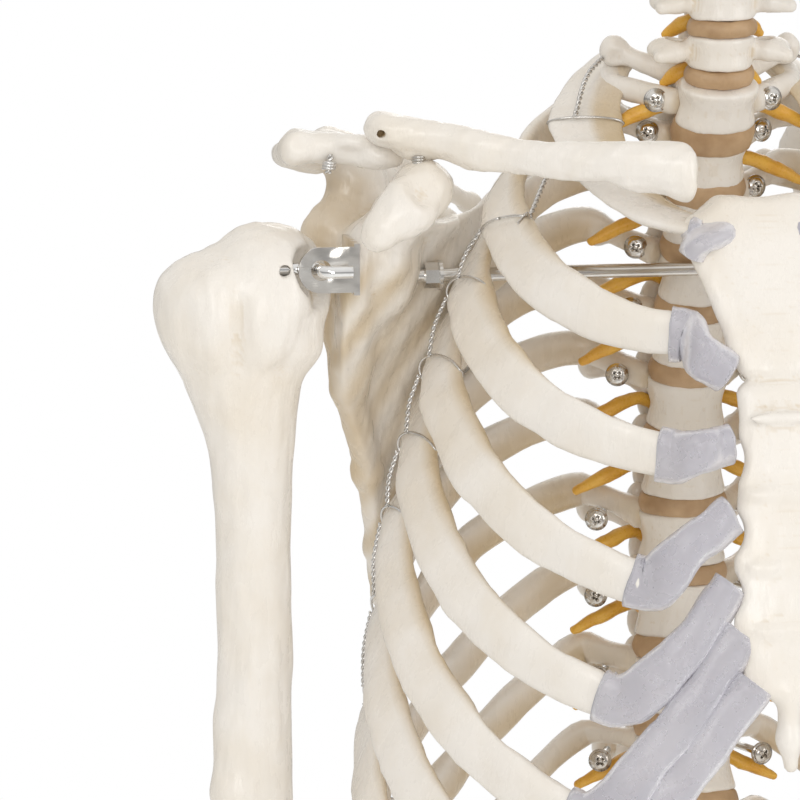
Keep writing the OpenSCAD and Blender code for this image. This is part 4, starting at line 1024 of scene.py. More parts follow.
def scapula():
    clay = Clay((-168, -46, 1298), (-38, 96, 1500), 0.9)
    clay.put(plate(BLADE_OUTLINE, BLADE_SPOTS, blade_half), 1)
    # side border and neck
    chain(clay, [(-129, 10, 1420, 6), (-130, 20, 1396, 4.6), (-121, 35, 1362, 4.2), (-114, 49, 1332, 3.6),
                 (-110, 58, 1312, 3.4)], 5)
    ovals(clay.put, (-119, 12, 1440, 13, 10, 18, 8), (-119, 3, 1443, 8, 6.5, 9, 5))
    # the socket, with its rim
    clay.put(oval((-129, 7, 1438), (6, 12.5, 19), turned(Y, 6)), 4)
    clay.cut(oval((-161, 2, 1436), (24.5, 24.5, 24.5)), 2)
    # the ridge behind the blade, and the tip over the joint
    chain(clay, [(-56, 80, 1442, 2.6), (-76, 70, 1455, 3), (-100, 52, 1468, 3.6), (-118, 44, 1477, 5),
                 (-134, 34, 1482, 6)], 5)
    chain(clay, [(-62, 72, 1442, 1.8), (-90, 45, 1452, 2.4), (-112, 30, 1458, 4), (-120, 28, 1464, 5)], 7)
    chain(clay, [(-90, 56, 1460, 2.2), (-112, 40, 1466, 3), (-122, 34, 1472, 4)], 8)
    tip = turned(Y, -8) @ turned(X, -8)
    clay.put(slab((-145, 14, 1482), (11.5, 17, 4.4), tip, edge=4), 5)
    clay.put(slab((-136.5, 3, 1483.5), (18, 8, 4.8), turned(Y, 5), edge=4), 4)
    ovals(clay.put, (-121.5, -3, 1481.5, 8.5, 7, 5.2, 4), (-131, -5, 1486.5, 7, 4, 2.6, 3))
    clay.cut(oval((-151, -9, 1487), (5, 5, 4)), 4)
    ovals(clay.put, (-138, 27, 1480, 10, 12, 6.2, 5), (-143, 23, 1477.5, 9, 9, 4.5, 4),
          (-126, 30, 1467, 10.5, 8, 12, 6))
    # the mass behind the ball, and the border below it
    clay.put(oval((-134, 25.5, 1447), (12.5, 8.5, 16.5)), 6)
    chain(clay, [(-132, 25, 1438, 8), (-130.5, 24, 1417, 6.8), (-128, 22, 1405, 5.8),
                 (-129, 21, 1396, 4.8)], 6)
    # the beak-like process in front
    chain(clay, [(-116, 14, 1450, 9), (-114, 4, 1459, 8.5), (-110, -10, 1468, 8.6), (-110, -20, 1471, 9),
                 (-117, -29, 1466, 9.2), (-125.5, -32, 1459.5, 7.2)], 5)
    clay.put(oval((-107, -13, 1472), (8, 9, 7)), 4)
    clay.cut(oval((-111, -36, 1474), (6, 5, 6)), 5)
    clay.put(oval((-129, -34, 1456), (4.6, 4.4, 4.4)), 4)
    points, quads, hollow = clay.skin(6)
    # painted shade on the blade, darker in the troughs between its ridges, and a painted shadow with tan wash
    # on the neck behind the ball
    across, up = points[:, 0], points[:, 2]
    painted_blade_shade = np.clip((-50 - across) / 14, 0, 1) * np.clip((1452 - up) / 16, 0, 1)
    hollow = np.maximum(hollow, painted_blade_shade * np.clip(0.33 - 0.28 * blade_ridges(across, up), 0, 1))
    shadow_behind_ball = (np.clip((-116 - across) / 10, 0, 1) * np.clip((points[:, 1] - 10) / 8, 0, 1)
                   * np.clip((1477 - up) / 8, 0, 1))
    hollow = np.maximum(hollow, 0.6 * shadow_behind_ball)
    bone_pair("scapula", (points, quads, hollow), "torso", ((0.3, 15), (0.14, 5)))


def clavicle():
    clay = Clay((-142, -78, 1464), (-14, 0, 1506), 0.8)
    clay.put(loft([(-129.5, -12, 1491.5, 6.2, 4.6), (-125, -13, 1491.5, 8, 5.8),
                   (-117, -16, 1490.5, 7.8, 6.5), (-104, -22, 1488.4, 6.8, 6.5), (-95, -28, 1485.6, 6.4, 7.2),
                   (-86, -33, 1484.4, 5.9, 6.5), (-68, -45, 1483, 5.7, 6.3), (-48, -57, 1483.4, 6, 7.4),
                   (-34, -62, 1481.3, 7.2, 9.4), (-24, -64, 1479.2, 8.5, 10.8)], axis=0, end=6), 2)
    ovals(clay.put, (-110, -16, 1484, 8, 4.5, 3.6, 4), (-40, -58, 1476, 9, 4, 3, 4))
    clay.cut(cone((-124.6, -30, 1489.2), (-124.6, -15, 1491), 1.15), 0.5)
    bone_pair("clavicle", clay.skin(3), "torso", ((0.3, 14, 1, 2), (0.14, 5, 1, 2)))


def clavicle_wires():
    """A coiled wire tie at the clavicle's outer end, and one over the beak-like process."""
    made = []
    for top, low in ((vec(-140, -6, 1482), vec(-141, -6.5, 1476)),
                     (vec(-111.5, -20, 1485), vec(-111.5, -20.5, 1479))):
        made += twist([mix(low, top, t) for t in np.linspace(0, 1, 12)], 3.6, 0.6, 1.2)
        axis = unit(top - low)
        u = unit(np.cross(axis, (0, 1, 0)))
        v = np.cross(axis, u)
        a = np.linspace(0, 5 * math.pi, 70)
        coil = (mix(low, top, 0.2) + (a / 6.5)[:, None] * axis
                + 1.9 * (np.cos(a)[:, None] * u + np.sin(a)[:, None] * v))
        made.append(sweep(coil, 0.6, 0.6, up=tuple(axis), sides=8))
    piece("clavicle_ties", both_sides(made), "clavicle_wires", (), slot="wire")


# ---------- arm ----------

HEAD = vec(-161, 0, 1436)       # centre of the ball
SHANK = vec(0, -14, 1443.5)     # a point on the hook's axis


def humerus():
    clay = Clay((-206, -30, 1110), (-134, 30, 1464), 0.9)
    clay.put(oval(HEAD + (-1, 1, -1), (23, 22.5, 23)), 1)
    clay.put(loft([(1148, -165, -1, 21, 6), (1162, -165.5, -1, 18, 7), (1180, -166, -1, 14, 8.5),
                   (1210, -166, -0.5, 12, 10.5), (1250, -166.4, 0, 12.8, 11.8), (1290, -167, 0, 13.4, 12.2),
                   (1324, -167, 0, 13.2, 12.4), (1360, -167.3, 0, 13.8, 13), (1376, -167.7, 0, 15, 14),
                   (1394, -169.5, 0, 18.5, 16), (1405, -170.5, 0, 21.3, 17.5), (1422, -173, 0, 23.5, 19.5),
                   (1438, -173, 0, 21.5, 19.5), (1448, -170, 1, 14, 16)], end=14), 4)
    clay.put(oval((-185, 3, 1432), (14, 17, 16), turned(Y, 24)), 8)
    ovals(clay.put, (-190, -4, 1425, 8.5, 12, 16, 8), (-166, -17, 1424, 11, 6.5, 13, 6),
          (-182, -15, 1427, 8, 7, 16, 6), (-152, -6, 1416, 8, 9, 8, 8))
    clay.cut(cone((-176, -26, 1452), (-174.5, -21, 1400), 3.4, 2.0), 6)
    # raised roughness half way down, and the ridges above the elbow
    chain(clay, [(-174, -3, 1280, 3.4), (-176, -4, 1255, 4), (-174, -4, 1228, 3.4)], 10)
    chain(clay, [(-145, 1, 1146, 6), (-148, 0, 1162, 4.5), (-155, 0, 1190, 4)], 6)
    chain(clay, [(-187, 0, 1148, 5), (-182, 0, 1168, 4), (-176, 0, 1195, 4)], 6)
    ovals(clay.put, (-141, 2, 1144, 6, 5.5, 7.5, 4), (-190.5, 0, 1144, 4.5, 6, 8, 4))
    clay.put(slab((-165, -0.5, 1141), (21, 4.2, 9), edge=3), 5)
    # the roller and the little ball beside it
    clay.put(loft([(-142.5, 0, 1127, 11.8, 11.8), (-147.5, 0, 1127, 10.2, 10.2), (-155, 0, 1127, 8, 8),
                   (-165, 0, 1127, 9.8, 9.8), (-170.5, 0, 1127, 8.4, 8.4), (-180, -1, 1127, 10.2, 10.2),
                   (-190, 0, 1127, 6.6, 6.6)][::-1], axis=0, end=2.5), 3)
    ovals(clay.cut, (-158, 11, 1146, 10, 8, 8.5, 2), (-158, -10.5, 1144, 8.5, 6.5, 6, 2))
    clay.cut((lambda x, y, z: np.maximum(np.maximum(np.abs(np.sqrt(y**2 + (z - 1127)**2 + 0 * x) - 15) - 4.6,
                                                    np.abs(x + 157) - 10.8),
                                         np.maximum(1.8 - np.abs(y), z - 1147)),
              vec(-169, -20, 1110), vec(-146, 20, 1148)), 1)
    # the hook's bore, the bracket's pocket and the drilled pin hole
    for from_x, r, k in ((-170, 2.6, 0.8), (-147.5, 10.2, 2.2), (-147.5, 14.2, 4.5)):
        clay.cut(drum((from_x, *SHANK[1:]), (-130, *SHANK[1:]), r), k)
    clay.cut(oval((-145.5, *SHANK[1:]), (9.8, 9.8, 9.8)), 1.5)
    clay.cut(oval((-138, -30.5, 1443.5), (18, 17.5, 17)), 5)
    clay.cut(drum((-158, -30, 1443.3), (-158, -8, 1443.3), 2.1), 0.5)
    bone_pair("humerus", clay.skin(6), "upper_arm", ((0.35, 22, 2.2), (0.16, 7, 3), (0.06, 3, 4)))


# ---------- forearm and hand ----------

ELBOW_Z, WRIST_Z = 1127, 868    # heights of the joints


def small_bone(clay, p, q, r_p, r_q, up=(0, -1, 0), knob=1.0):
    """A short long-bone: a cupped base at p, a waisted shaft, and a rounded head with two knuckles at q."""
    p, q = vec(*p), vec(*q)
    d = unit(q - p)
    side = unit(np.cross(d, up))
    clay.put(cone(p + d * r_p * 0.55, q - d * r_q * 0.6, r_p * 0.62, r_q * 0.6), 2)
    clay.put(cone(p + d * r_p * 0.5, p + d * r_p * 0.9, r_p * 0.82, r_p * 0.7), 3)
    for s in (-1, 1):
        clay.put(oval(q - d * r_q * 0.62 + side * s * r_q * 0.36 * knob, r_q * 0.62), 3)
        clay.put(oval(p + d * r_p * 0.5 + side * s * r_p * 0.3, r_p * 0.66), 3)


def ulna():
    clay = Clay((-200, -26, 872), (-142, 30, 1148), 0.9)
    for a in np.radians(np.arange(118, 297, 9)):
        clay.put(oval((-157, -15.6 * math.cos(a), ELBOW_Z + 15.6 * math.sin(a)), (9.6, 4.8, 4.8)), 5)
    ovals(clay.put, (-157, 14, ELBOW_Z + 3, 8.5, 6.5, 13, 5), (-157, -4, ELBOW_Z - 17, 8, 8, 7, 4))
    clay.put(loft([(886, -186, 2, 5.5, 5.5), (893, -185.5, 2, 6.6, 6.6), (903, -184, 3, 5, 5.2),
                   (930, -177, 5, 4.8, 5.4), (1000, -167, 7, 5.6, 6.5), (1060, -161, 6, 6.4, 7),
                   (1090, -158.5, 5, 7.6, 8.2), (1112, -157, 5, 8.6, 9)], end=4), 4)
    clay.put(cone((-183, 4.5, 889), (-184, 5, 881), 2.6, 1.7), 3)
    chain(clay, [(-166, 12, 1075, 2.4), (-169, 13, 1020, 2.4), (-177, 11, 960, 1.8)], 6)
    clay.cut(drum((-170, 0, ELBOW_Z), (-144, 0, ELBOW_Z), 11.6), 0.8)
    clay.cut(drum((-183, 0, 1098), (-183, 0, 1120), 11.2), 1)
    bone_pair("ulna", clay.skin(4), "forearm", ((0.25, 16, 2.5), (0.1, 5, 2)))


def radius_bone():
    clay = Clay((-228, -16, 868), (-170, 18, 1120), 0.9)
    clay.put(loft([(1099, -183, 0, 6.6, 6.6), (1104, -183, 0, 9, 9), (1109, -183, 0, 9.9, 9.9),
                   (1113.8, -183, 0, 9.2, 9.2)], end=3), 2)
    clay.cut(oval((-183, 0, 1118.5), (7, 7, 6.5)), 1)
    clay.put(loft([(882, -207.5, -1, 12, 7.6), (888, -208, -1, 14, 9), (902, -208, -1, 11.6, 8.6),
                   (920, -207, -1, 8.6, 7.8), (960, -205.5, -1, 6.9, 6.8), (1020, -201, -2, 6.8, 6.4),
                   (1050, -196, -3, 6.8, 6.4), (1072, -190, -2.5, 7.2, 6.8), (1090, -184.5, 0, 6.3, 6.3),
                   (1106, -183, 0, 6.3, 6.3)], end=4), 3)
    clay.put(oval((-184, -6, 1075), (5, 4.5, 9)), 4)
    clay.put(cone((-217, -1, 888), (-219, -1, 878), 4.2, 2.6), 4)
    clay.put(oval((-208, 7, 894), (4, 2.6, 8)), 3)
    clay.cut(oval((-205, -1, 875), (12, 8, 7.5)), 2)
    chain(clay, [(-193, -3, 1050, 2.2), (-197, -1, 1000, 2.4), (-200, 0, 950, 2)], 6)
    bone_pair("radius", clay.skin(4), "forearm_turner", ((0.25, 16, 2.5), (0.1, 5, 2)))


HAND_X = -203
FINGER_LONG = (72, 88, 94, 84)


def knuckle(f):
    return vec(HAND_X + 24 - 15.5 * f, -2, WRIST_Z - (68, 72, 74, 72)[f])


def hand():
    """Eight wrist bones in two rows, and four palm bones."""
    clay = Clay((-236, -14, 782), (-170, 14, 882), 0.8)
    near = ((15, 5.4, 5.4, 5.4, 8), (4.4, 5.8, 5.8, 6.4, -6), (-6.4, 6.6, 6.2, 6.6, 10), (-17, 5.8, 6, 6, 28))
    far = ((17, 6.2, 6.2, 6, -12), (5, 6.4, 7.2, 7, 4), (-6.4, 5.6, 6.2, 5.8, -8), (-17.6, 6.4, 6.2, 5.8, 12))
    for row, z in ((near, WRIST_Z + 2.8), (far, WRIST_Z - 9)):
        for i, (x, half_x, half_y, half_z, turn) in enumerate(row):
            at = (HAND_X + x, -0.5 - 0.8 * (i % 2), z + 0.8 * (i % 2))
            clay.put(slab(at, (half_x, half_y, half_z), turned(Y, turn), edge=4.2), 0.7)
    clay.put(oval((HAND_X + 17, -7, WRIST_Z - 1), (4, 3.6, 4.2)), 1)
    clay.put(cone((HAND_X + 12, -5, WRIST_Z - 9), (HAND_X + 12, -9, WRIST_Z - 8), 2.6, 2), 2)
    for f in range(4):
        small_bone(clay, (HAND_X + 18 - 12 * f, -1, WRIST_Z - 15), knuckle(f) + (0, 0, 0.5), 7, 7.4)
    bone_pair("hand", clay.skin(3), "hand_block", ((0.15, 7),))


def fingers():
    clay = Clay((-240, -20, 692), (-158, 10, 802), 0.7)
    for f, long in enumerate(FINGER_LONG):
        k = knuckle(f) + (0, 0, -3.6)
        d = vec(1.6 - f * 1.1, -0.4, -10) / 10 * long
        small_bone(clay, k + (0, 0, -0.7), k + d * 0.455, 5.8, 5.6)
        small_bone(clay, k + d * 0.487, k + d * 0.755, 5.4, 4.6)
        small_bone(clay, k + d * 0.787, k + d * 0.97, 4.6, 2.8)
        clay.put(oval(k + d * 0.975, (3.6, 1.8, 3.4)), 1.5)
    bone_pair("fingers", clay.skin(2.5), "finger_set", ((0.12, 6),))


def thumb():
    clay = Clay((-266, -48, 742), (-218, 4, 864), 0.8)
    root = vec(HAND_X - 24, -6, WRIST_Z - 16)
    d = unit((-0.27, -0.3, -1))
    small_bone(clay, root + 2.5 * d, root + 44.5 * d, 6.8, 6.6)
    small_bone(clay, root + 46.5 * d, root + 75.5 * d, 6, 5.4)
    small_bone(clay, root + 77.5 * d, root + 96 * d, 5.4, 3.4)
    clay.put(oval(root + 97 * d, (4.2, 2.2, 3.6)), 1.5)
    bone_pair("thumb", clay.skin(2.5), "thumb_set", ((0.12, 6),))


# ---------- pelvis ----------

HIP_X, HIP_Z = 88, 952
WING_OUTLINE = vec(
    [-64, 1034], [-60, 1046], [-46, 1059], [-26, 1070], [-5, 1077], [15, 1080], [36, 1077], [57, 1067],
    [74, 1053], [87, 1040], [88, 1030], [78, 1018], [70, 1007], [72, 998], [64, 988], [50, 978], [38, 970],
    [32, 958], [22, 944], [-4, 942], [-24, 952], [-27, 972], [-26, 985], [-34, 992], [-34, 1000],
    [-44, 1010], [-56, 1022])
WING_SPOTS = vec(
    [-62, 1034, -117], [-25, 1068, -134], [15, 1079, -133], [55, 1066, -105], [82, 1040, -62],
    [66, 1000, -66], [48, 1005, -78], [30, 965, -88], [-24, 992, -99], [22, 990, -97], [0, 1030, -112],
    [30, 1040, -108], [0, 955, -90], [56, 1030, -82], [-30, 1035, -118])


def wing_half(u, v, inwards):
    """Half thickness of the wing: a stout crest and lower part, and a thin middle."""
    crest = 3.2 * np.exp(-(inwards / 8.0)**2)
    low = 7.0 * np.clip((1006 - v) / 30, 0, 1) * np.exp(-(u / 34.0)**2)
    back = 3.5 * np.clip((u - 44) / 22, 0, 1)
    return 2.4 + crest + low + back


def hip_bone():
    clay = Clay((-146, -72, 872), (-4, 96, 1090), 1.2)
    clay.put(plate(WING_OUTLINE, WING_SPOTS, wing_half, axis=0, edge=5), 1)
    ovals(clay.put, (-98, -19, 990, 7, 8, 10, 8), (-116, -61, 1036, 6, 7, 9, 6))
    # the cup, with its raised rim
    ovals(clay.put, (-86, 0, 954, 24, 34, 34, 10), (-76, 4, 956, 14, 30, 30, 8))
    # the seat bone, the ring's lower bar, the pubic bone and its upper bar
    chain(clay, [(-86, 22, 938, 13), (-80, 36, 908, 13), (-77, 40, 893, 13), (-70, 30, 883, 10)], 8)
    clay.put(cone((-84, 38, 935), (-76, 47, 930), 5, 2.6), 4)
    chain(clay, [(-70, 28, 884, 8.5), (-50, -4, 891, 6.4), (-32, -28, 903, 6), (-17, -50, 922, 7.5)], 6)
    chain(clay, [(-15, -52, 925, 7.5), (-15, -54, 942, 8), (-34, -50, 950, 7), (-58, -36, 957, 8),
                 (-78, -24, 964, 11)], 6)
    chain(clay, [(-24, -58, 951, 3.4), (-50, -44, 962, 3), (-84, -10, 984, 3)], 7)
    clay.cut(oval((-HIP_X, 0, HIP_Z), 25.6), 1.5)
    clay.cut(drum((-HIP_X - 60, 0, HIP_Z), (-HIP_X - 14, 0, HIP_Z), 33, 30), 3)
    clay.cut(slab((-HIP_X - 4, -2, HIP_Z - 32), (8, 8, 14), edge=4), 3)
    clay.cut(drum((-HIP_X, 0, HIP_Z), (-40, 0, HIP_Z), 3), 0.5)
    for at in ((-60, 62, 1020), (-66, 74, 1012)):
        clay.cut(oval(at, (6, 4, 6)), 4)
    bone_pair("hip_bone", clay.skin(7), "torso", ((0.4, 22), (0.14, 7)))


def sacrum():
    clay = Clay((-58, 22, 886), (58, 104, 1048), 1.1)
    clay.put(loft([(890, 0, 51, 3.4, 3), (902, 0, 58, 7, 4.6), (914, 0, 65, 10, 5.5), (930, 0, 70, 17, 7),
                   (960, 0, 68, 30, 10), (990, 0, 56, 45, 13), (1012, 0, 44, 53, 15), (1026, 0, 36, 47, 16),
                   (1036, 0, 31, 30, 15)], end=6), 3)
    clay.put(loft([(1018, 0, 33, 26, 15), (1037, 0, 29, 25, 15.5)], end=2), 4)
    for k in range(4):
        y, z = 58 + 6 * k, 1020 - 20 * k
        clay.put(oval((0, y + 13, z - 4), (4, 8, 7.5)), 5)
        for s in (-1, 1):
            wide = 19 - 1.6 * k
            clay.put(oval((s * (wide - 7), y + 8, z - 4), (3, 4, 6)), 5)
            clay.cut(drum((s * wide, y - 40, z - 14 + 2 * k), (s * wide, y + 34, z - 2 + 2 * k),
                          4.2 - 0.4 * k), 3)
        clay.cut(oval((0, y - 20, z - 15), (22 - 3 * k, 2.2, 1.4)), 2)
    for s in (-1, 1):
        clay.put(oval((s * 21, 50, 1036), (5, 5, 9)), 5)
        clay.cut(oval((s * 58, 62, 1004), (8, 14, 16)), 5)
    for z, y in ((910, 62), (901, 57)):
        clay.cut(oval((0, y, z), (20, 14, 1.1)), 1.2)
    piece("sacrum_casting", clay.skin(6), "sacrum")


def pubic_symphysis():
    clay = Clay((-13, -66, 912), (13, -40, 958), 0.8)
    clay.put(loft([(918, 0, -51, 9, 6), (930, 0, -53, 7.6, 7), (945, 0, -54, 8.4, 7),
                   (952, 0, -53.5, 9, 5.6)], end=4), 1)
    clay.cut(oval((0, -62, 934), (1.4, 3, 12)), 2)
    piece("symphysis_pad", clay.skin(3), "pubic_symphysis", ((0.25, 9),), slot="cartilage")


# ---------- leg and foot ----------

KNEE = vec(-81, 14, 538)


def femur():
    clay = Clay((-164, -32, 512), (-46, 42, 982), 1.2)
    clay.put(oval((-HIP_X, 0, HIP_Z), 23.4), 1)
    chain(clay, [(-96, 1, 947, 15.5), (-112, 3, 936, 13.6), (-128, 5, 924, 16)], 7)
    clay.put(loft([(545, -80, 0, 22, 11), (556, -80, 0, 27, 12.5), (570, -82, -1, 26, 13.5),
                   (590, -87, -3, 20, 14), (620, -94, -5, 15, 13.6), (660, -102, -7, 13.4, 13.4),
                   (720, -112, -8, 12.8, 13), (800, -124, -4, 13, 13), (860, -131, 3, 14.4, 14),
                   (890, -134, 6, 17, 17), (915, -136, 8, 18, 18.5), (930, -137, 9, 15, 16)], end=10), 6)
    clay.put(oval((-143, 12, 936), (11, 16, 19), turned(Y, -14)), 7)
    clay.put(cone((-124, 15, 902), (-118, 18, 894), 8, 6), 7)
    chain(clay, [(-130, 20, 915, 4), (-125, 20, 900, 3.6)], 8)
    chain(clay, [(-128, 17, 860, 2.8), (-122, 11, 760, 3), (-106, 8, 660, 3), (-96, 11, 600, 2.4)], 8)
    # the two knuckles at the knee, with the groove for the kneecap between them
    for x, half_x, reach in ((-101, 12.5, 0), (-62, 13, 1)):
        clay.put(oval((x, *KNEE[1:]), (half_x, 20.6, 20.5)), 4)
        clay.put(oval((x + (4 if x < -80 else -4), 0, KNEE[2] + 10), (12, 14 + reach, 14)), 6)
    ovals(clay.put, (-52, 12, 552, 6, 9, 9, 7), (-111, 12, 551, 5.5, 9, 9, 7))
    clay.cut(oval((-81, 30, 528), (8.5, 20, 20)), 4)
    clay.cut(cone((-81, -22, 572), (-81, -10, 524), 7, 8), 8)
    clay.cut(oval((-81, 22, 572), (17, 8, 18)), 8)
    clay.cut(drum((-HIP_X + 2, 0, HIP_Z), (-HIP_X + 30, 0, HIP_Z), 3.5), 0.4)
    bone_pair("femur", clay.skin(7), "thigh", ((0.4, 26, 2.5), (0.14, 8, 2.5)))


def patella():
    clay = Clay((-104, -38, 522), (-56, -12, 572), 0.8)
    clay.put(loft([(527, -80, -25, 5, 3.6), (536, -80, -25.5, 13, 5.8), (548, -80, -25.5, 19.5, 8),
                   (560, -80, -25, 18, 7), (567, -80, -24, 9, 4.4)], end=7), 2)
    ovals(clay.cut, (-71, -15.5, 550, 11, 3, 13, 3), (-90, -15.5, 550, 9, 3, 13, 3))
    for i in range(6):
        clay.cut(cone((-90 + 4 * i, -33.4, 562 - abs(i - 2.5) * 2), (-88 + 3.4 * i, -33.6, 540), 0.8,
                      0.5), 1.5)
    bone_pair("patella", clay.skin(4), "thigh", ((0.2, 8, 2),))


def tibia():
    clay = Clay((-120, -18, 140), (-44, 42, 526), 1.2)
    clay.put(loft([(160, -79, 9, 19, 15), (172, -79.5, 9, 17, 14), (195, -80, 8, 13.5, 12.4),
                   (240, -80, 6, 10.5, 11), (340, -80, 4, 11, 13), (420, -80, 4, 13, 16),
                   (460, -80, 7, 18, 19), (485, -80, 11, 26, 21), (502, -80, 14, 34.5, 22.5),
                   (517.5, -80, 14.5, 35, 22.5)], end=4), 2)
    clay.put(oval((-81, -9, 474), (9, 7, 16)), 8)
    chain(clay, [(-79, -8, 450, 3.4), (-76, -10, 380, 3), (-74, -7, 300, 2.6), (-76, -3, 220, 2.4)], 8)
    clay.put(cone((-80.5, 14, 513), (-80.5, 14, 520.5), 6.5, 3), 4)
    for x in (-97, -63):
        clay.cut(oval((x, 15, 527.5), (15, 22, 11.5)), 3)
    clay.cut(oval((-81, 39, 510), (10, 8, 20)), 6)
    clay.put(cone((-63, 9, 166), (-60, 9, 149), 7, 5), 5)
    clay.cut(drum((-98.5, 10, 140), (-66, 10, 140), 17.5), 1.5)
    clay.cut(oval((-101, 13, 178), (6, 10, 16)), 5)
    clay.put(oval((-106, 24, 494), (7, 7, 8)), 6)
    bone_pair("tibia", clay.skin(7), "shin", ((0.35, 24, 2.5), (0.14, 8, 2.5)))


def fibula():
    clay = Clay((-128, 0, 122), (-98, 42, 504), 0.9)
    clay.put(loft([(130, -106, 12, 3.6, 4.6), (140, -106, 13, 6.2, 8), (156, -106, 14, 7.6, 9.2),
                   (175, -106, 15, 6.4, 7.6), (210, -106, 16, 5.2, 5.6), (280, -106.5, 18, 5.6, 6),
                   (340, -107, 20, 5.8, 6.2), (420, -110, 24, 5.2, 5.8), (466, -113, 26, 5.2, 5.8),
                   (484, -114, 28, 8.6, 8.8), (494, -113.5, 28, 8, 8)], end=4), 3)
    clay.put(cone((-115, 32, 492), (-115, 34, 500), 4.4, 2.2), 3)
    chain(clay, [(-111, 14, 400, 2), (-111, 12, 300, 2.2), (-110, 12, 220, 1.8)], 6)
    bone_pair("fibula", clay.skin(4), "shin", ((0.22, 14, 2.5), (0.1, 6, 2)))


def toe_root(t):
    return vec(-62 - 12.5 * t, -88 + 5 * t + (4 if t == 0 else 0), 92 - 2 * t)


def foot():
    """The heel and ankle bones, the five mid-foot bones and the five long ones."""
    clay = Clay((-128, -96, 70), (-50, 82, 162), 0.9)
    clay.put(drum((-96, 10, 140), (-69, 10, 140), 14.6), 1)
    ovals(clay.put, (-83, 8, 130, 16, 22, 11, 3), (-76, -14, 124, 12.5, 11, 11, 5))
    clay.put(loft([(2, -85, 112, 11, 10), (14, -85, 109, 13, 12), (34, -84, 104, 12, 14),
                   (54, -84, 99, 14, 18), (68, -83, 97, 13, 17), (74, -83, 97, 10, 13)], axis=1, end=6), 1)
    ovals(clay.put, (-70, 12, 112, 8, 12, 6, 4), (-72, -29.5, 119, 12, 6.5, 11.5, 0.8),
          (-95, -12, 106, 12, 16, 10.5, 0.8))
    for x, y, z, half in ((-66, -42, 113, (7, 8.5, 10)), (-77, -40, 114, (5.4, 7, 8.5)),
                          (-87, -37, 110, (5.6, 8, 8.5))):
        clay.put(oval((x, y, z), half), 0.8)
    for t in range(5):
        small_bone(clay, (-67 - 9.2 * t, -47 + 6.5 * t, 108 - 2.6 * t), toe_root(t) + (0, 3, 0),
                   (9.6, 8, 7.6, 7.4, 7.4)[t], (10, 7.2, 7, 6.8, 6.8)[t], Z)
    clay.put(cone((-110, -16, 98), (-113, -10, 95), 5, 3), 3)
    bone_pair("foot", clay.skin(4), "foot_block", ((0.22, 10), (0.08, 4)))


def toes():
    clay = Clay((-128, -142, 66), (-48, -60, 108), 0.8)
    for t in range(5):
        p = toe_root(t) + (0, -4.5, 0)
        long, r = (52, 42, 38, 33, 28)[t], (9, 6, 5.8, 5.6, 5.4)[t]
        d = vec(0.05 - 0.05 * t, -1, -0.12)
        if t == 0:
            small_bone(clay, p, p + d * long * 0.52, r, r * 0.9, Z)
            small_bone(clay, p + d * long * 0.57, p + d * long * 0.93, r * 0.9, r * 0.6, Z)
            clay.put(oval(p + d * long * 0.94, (6.5, 4, 3.2)), 2)
            continue
        small_bone(clay, p, p + d * long * 0.46, r, r * 0.84, Z)
        small_bone(clay, p + d * long * 0.51, p + d * long * 0.71, r * 0.84, r * 0.76, Z)
        small_bone(clay, p + d * long * 0.76, p + d * long * 0.95, r * 0.76, r * 0.6, Z)
    bone_pair("toes", clay.skin(2.5), "toe_set", ((0.12, 6),))


# ---------- skull ----------

VAULT, VAULT_HALF, VAULT_T = vec(0, 8, 1697), vec(71, 88, 68), 6.0      # centre, half axes and wall
CUT_Z, NECK_Y = 1712, 4                                                 # the cap's cut, and the neck's axis


def vault(x, y, z, grow=0.0):
    """Distance to the vault: an ellipsoid, fuller at the back and sides and narrower at the forehead."""
    front = np.clip((VAULT[1] - y) / VAULT_HALF[1], 0, 1)
    half_x = (VAULT_HALF[0] + grow) * (1 - 0.1 * front**2)
    dx, dy, dz = x / half_x, (y - VAULT[1]) / (VAULT_HALF[1] + grow), (z - VAULT[2]) / (VAULT_HALF[2] + grow)
    r = np.sqrt(dx**2 + dy**2 + dz**2)
    slope = np.sqrt((dx / half_x)**2 + (dy / (VAULT_HALF[1] + grow))**2 + (dz / (VAULT_HALF[2] + grow))**2)
    return r * (r - 1) / np.maximum(slope, 1e-4)


VAULT_BOX = VAULT - VAULT_HALF - 2, VAULT + VAULT_HALF + 2
VAULT_OUTSIDE = vault, *VAULT_BOX
VAULT_INSIDE = lambda x, y, z: vault(x, y, z, -VAULT_T), *VAULT_BOX


# half width and half depth, from the middle of the jaw to the back
HALF_TOOTH = (3.3, 2.4), (2.7, 2.4), (3.0, 2.8), (3.2, 3.2), (3.2, 3.4), (4.2, 4.2), (4.2, 4.2), (3.8, 3.8)


def teeth(clay, z, up, front_y, wide):
    """Sixteen teeth round the jaw, with ridges for roots; up is 1 in the upper jaw, -1 in the lower."""
    for s in (-1, 1):
        for i in range(8):
            a = math.radians(4.5 + 10.6 * i)
            x, y = s * wide * math.sin(a)**0.85, front_y + 46 * (1 - math.cos(a))
            half = HALF_TOOTH[i]
            turn = turned(Z, s * math.degrees(a))
            clay.put(slab((x, y, z - up * 1.2), (half[0], half[1], 5.4), turn, edge=1.9), 0.5)
            clay.put(cone((x * 0.98, y, z + up * 2), (x * 0.95, y + 1.4, z + up * 12), 2.1, 1.2), 3)


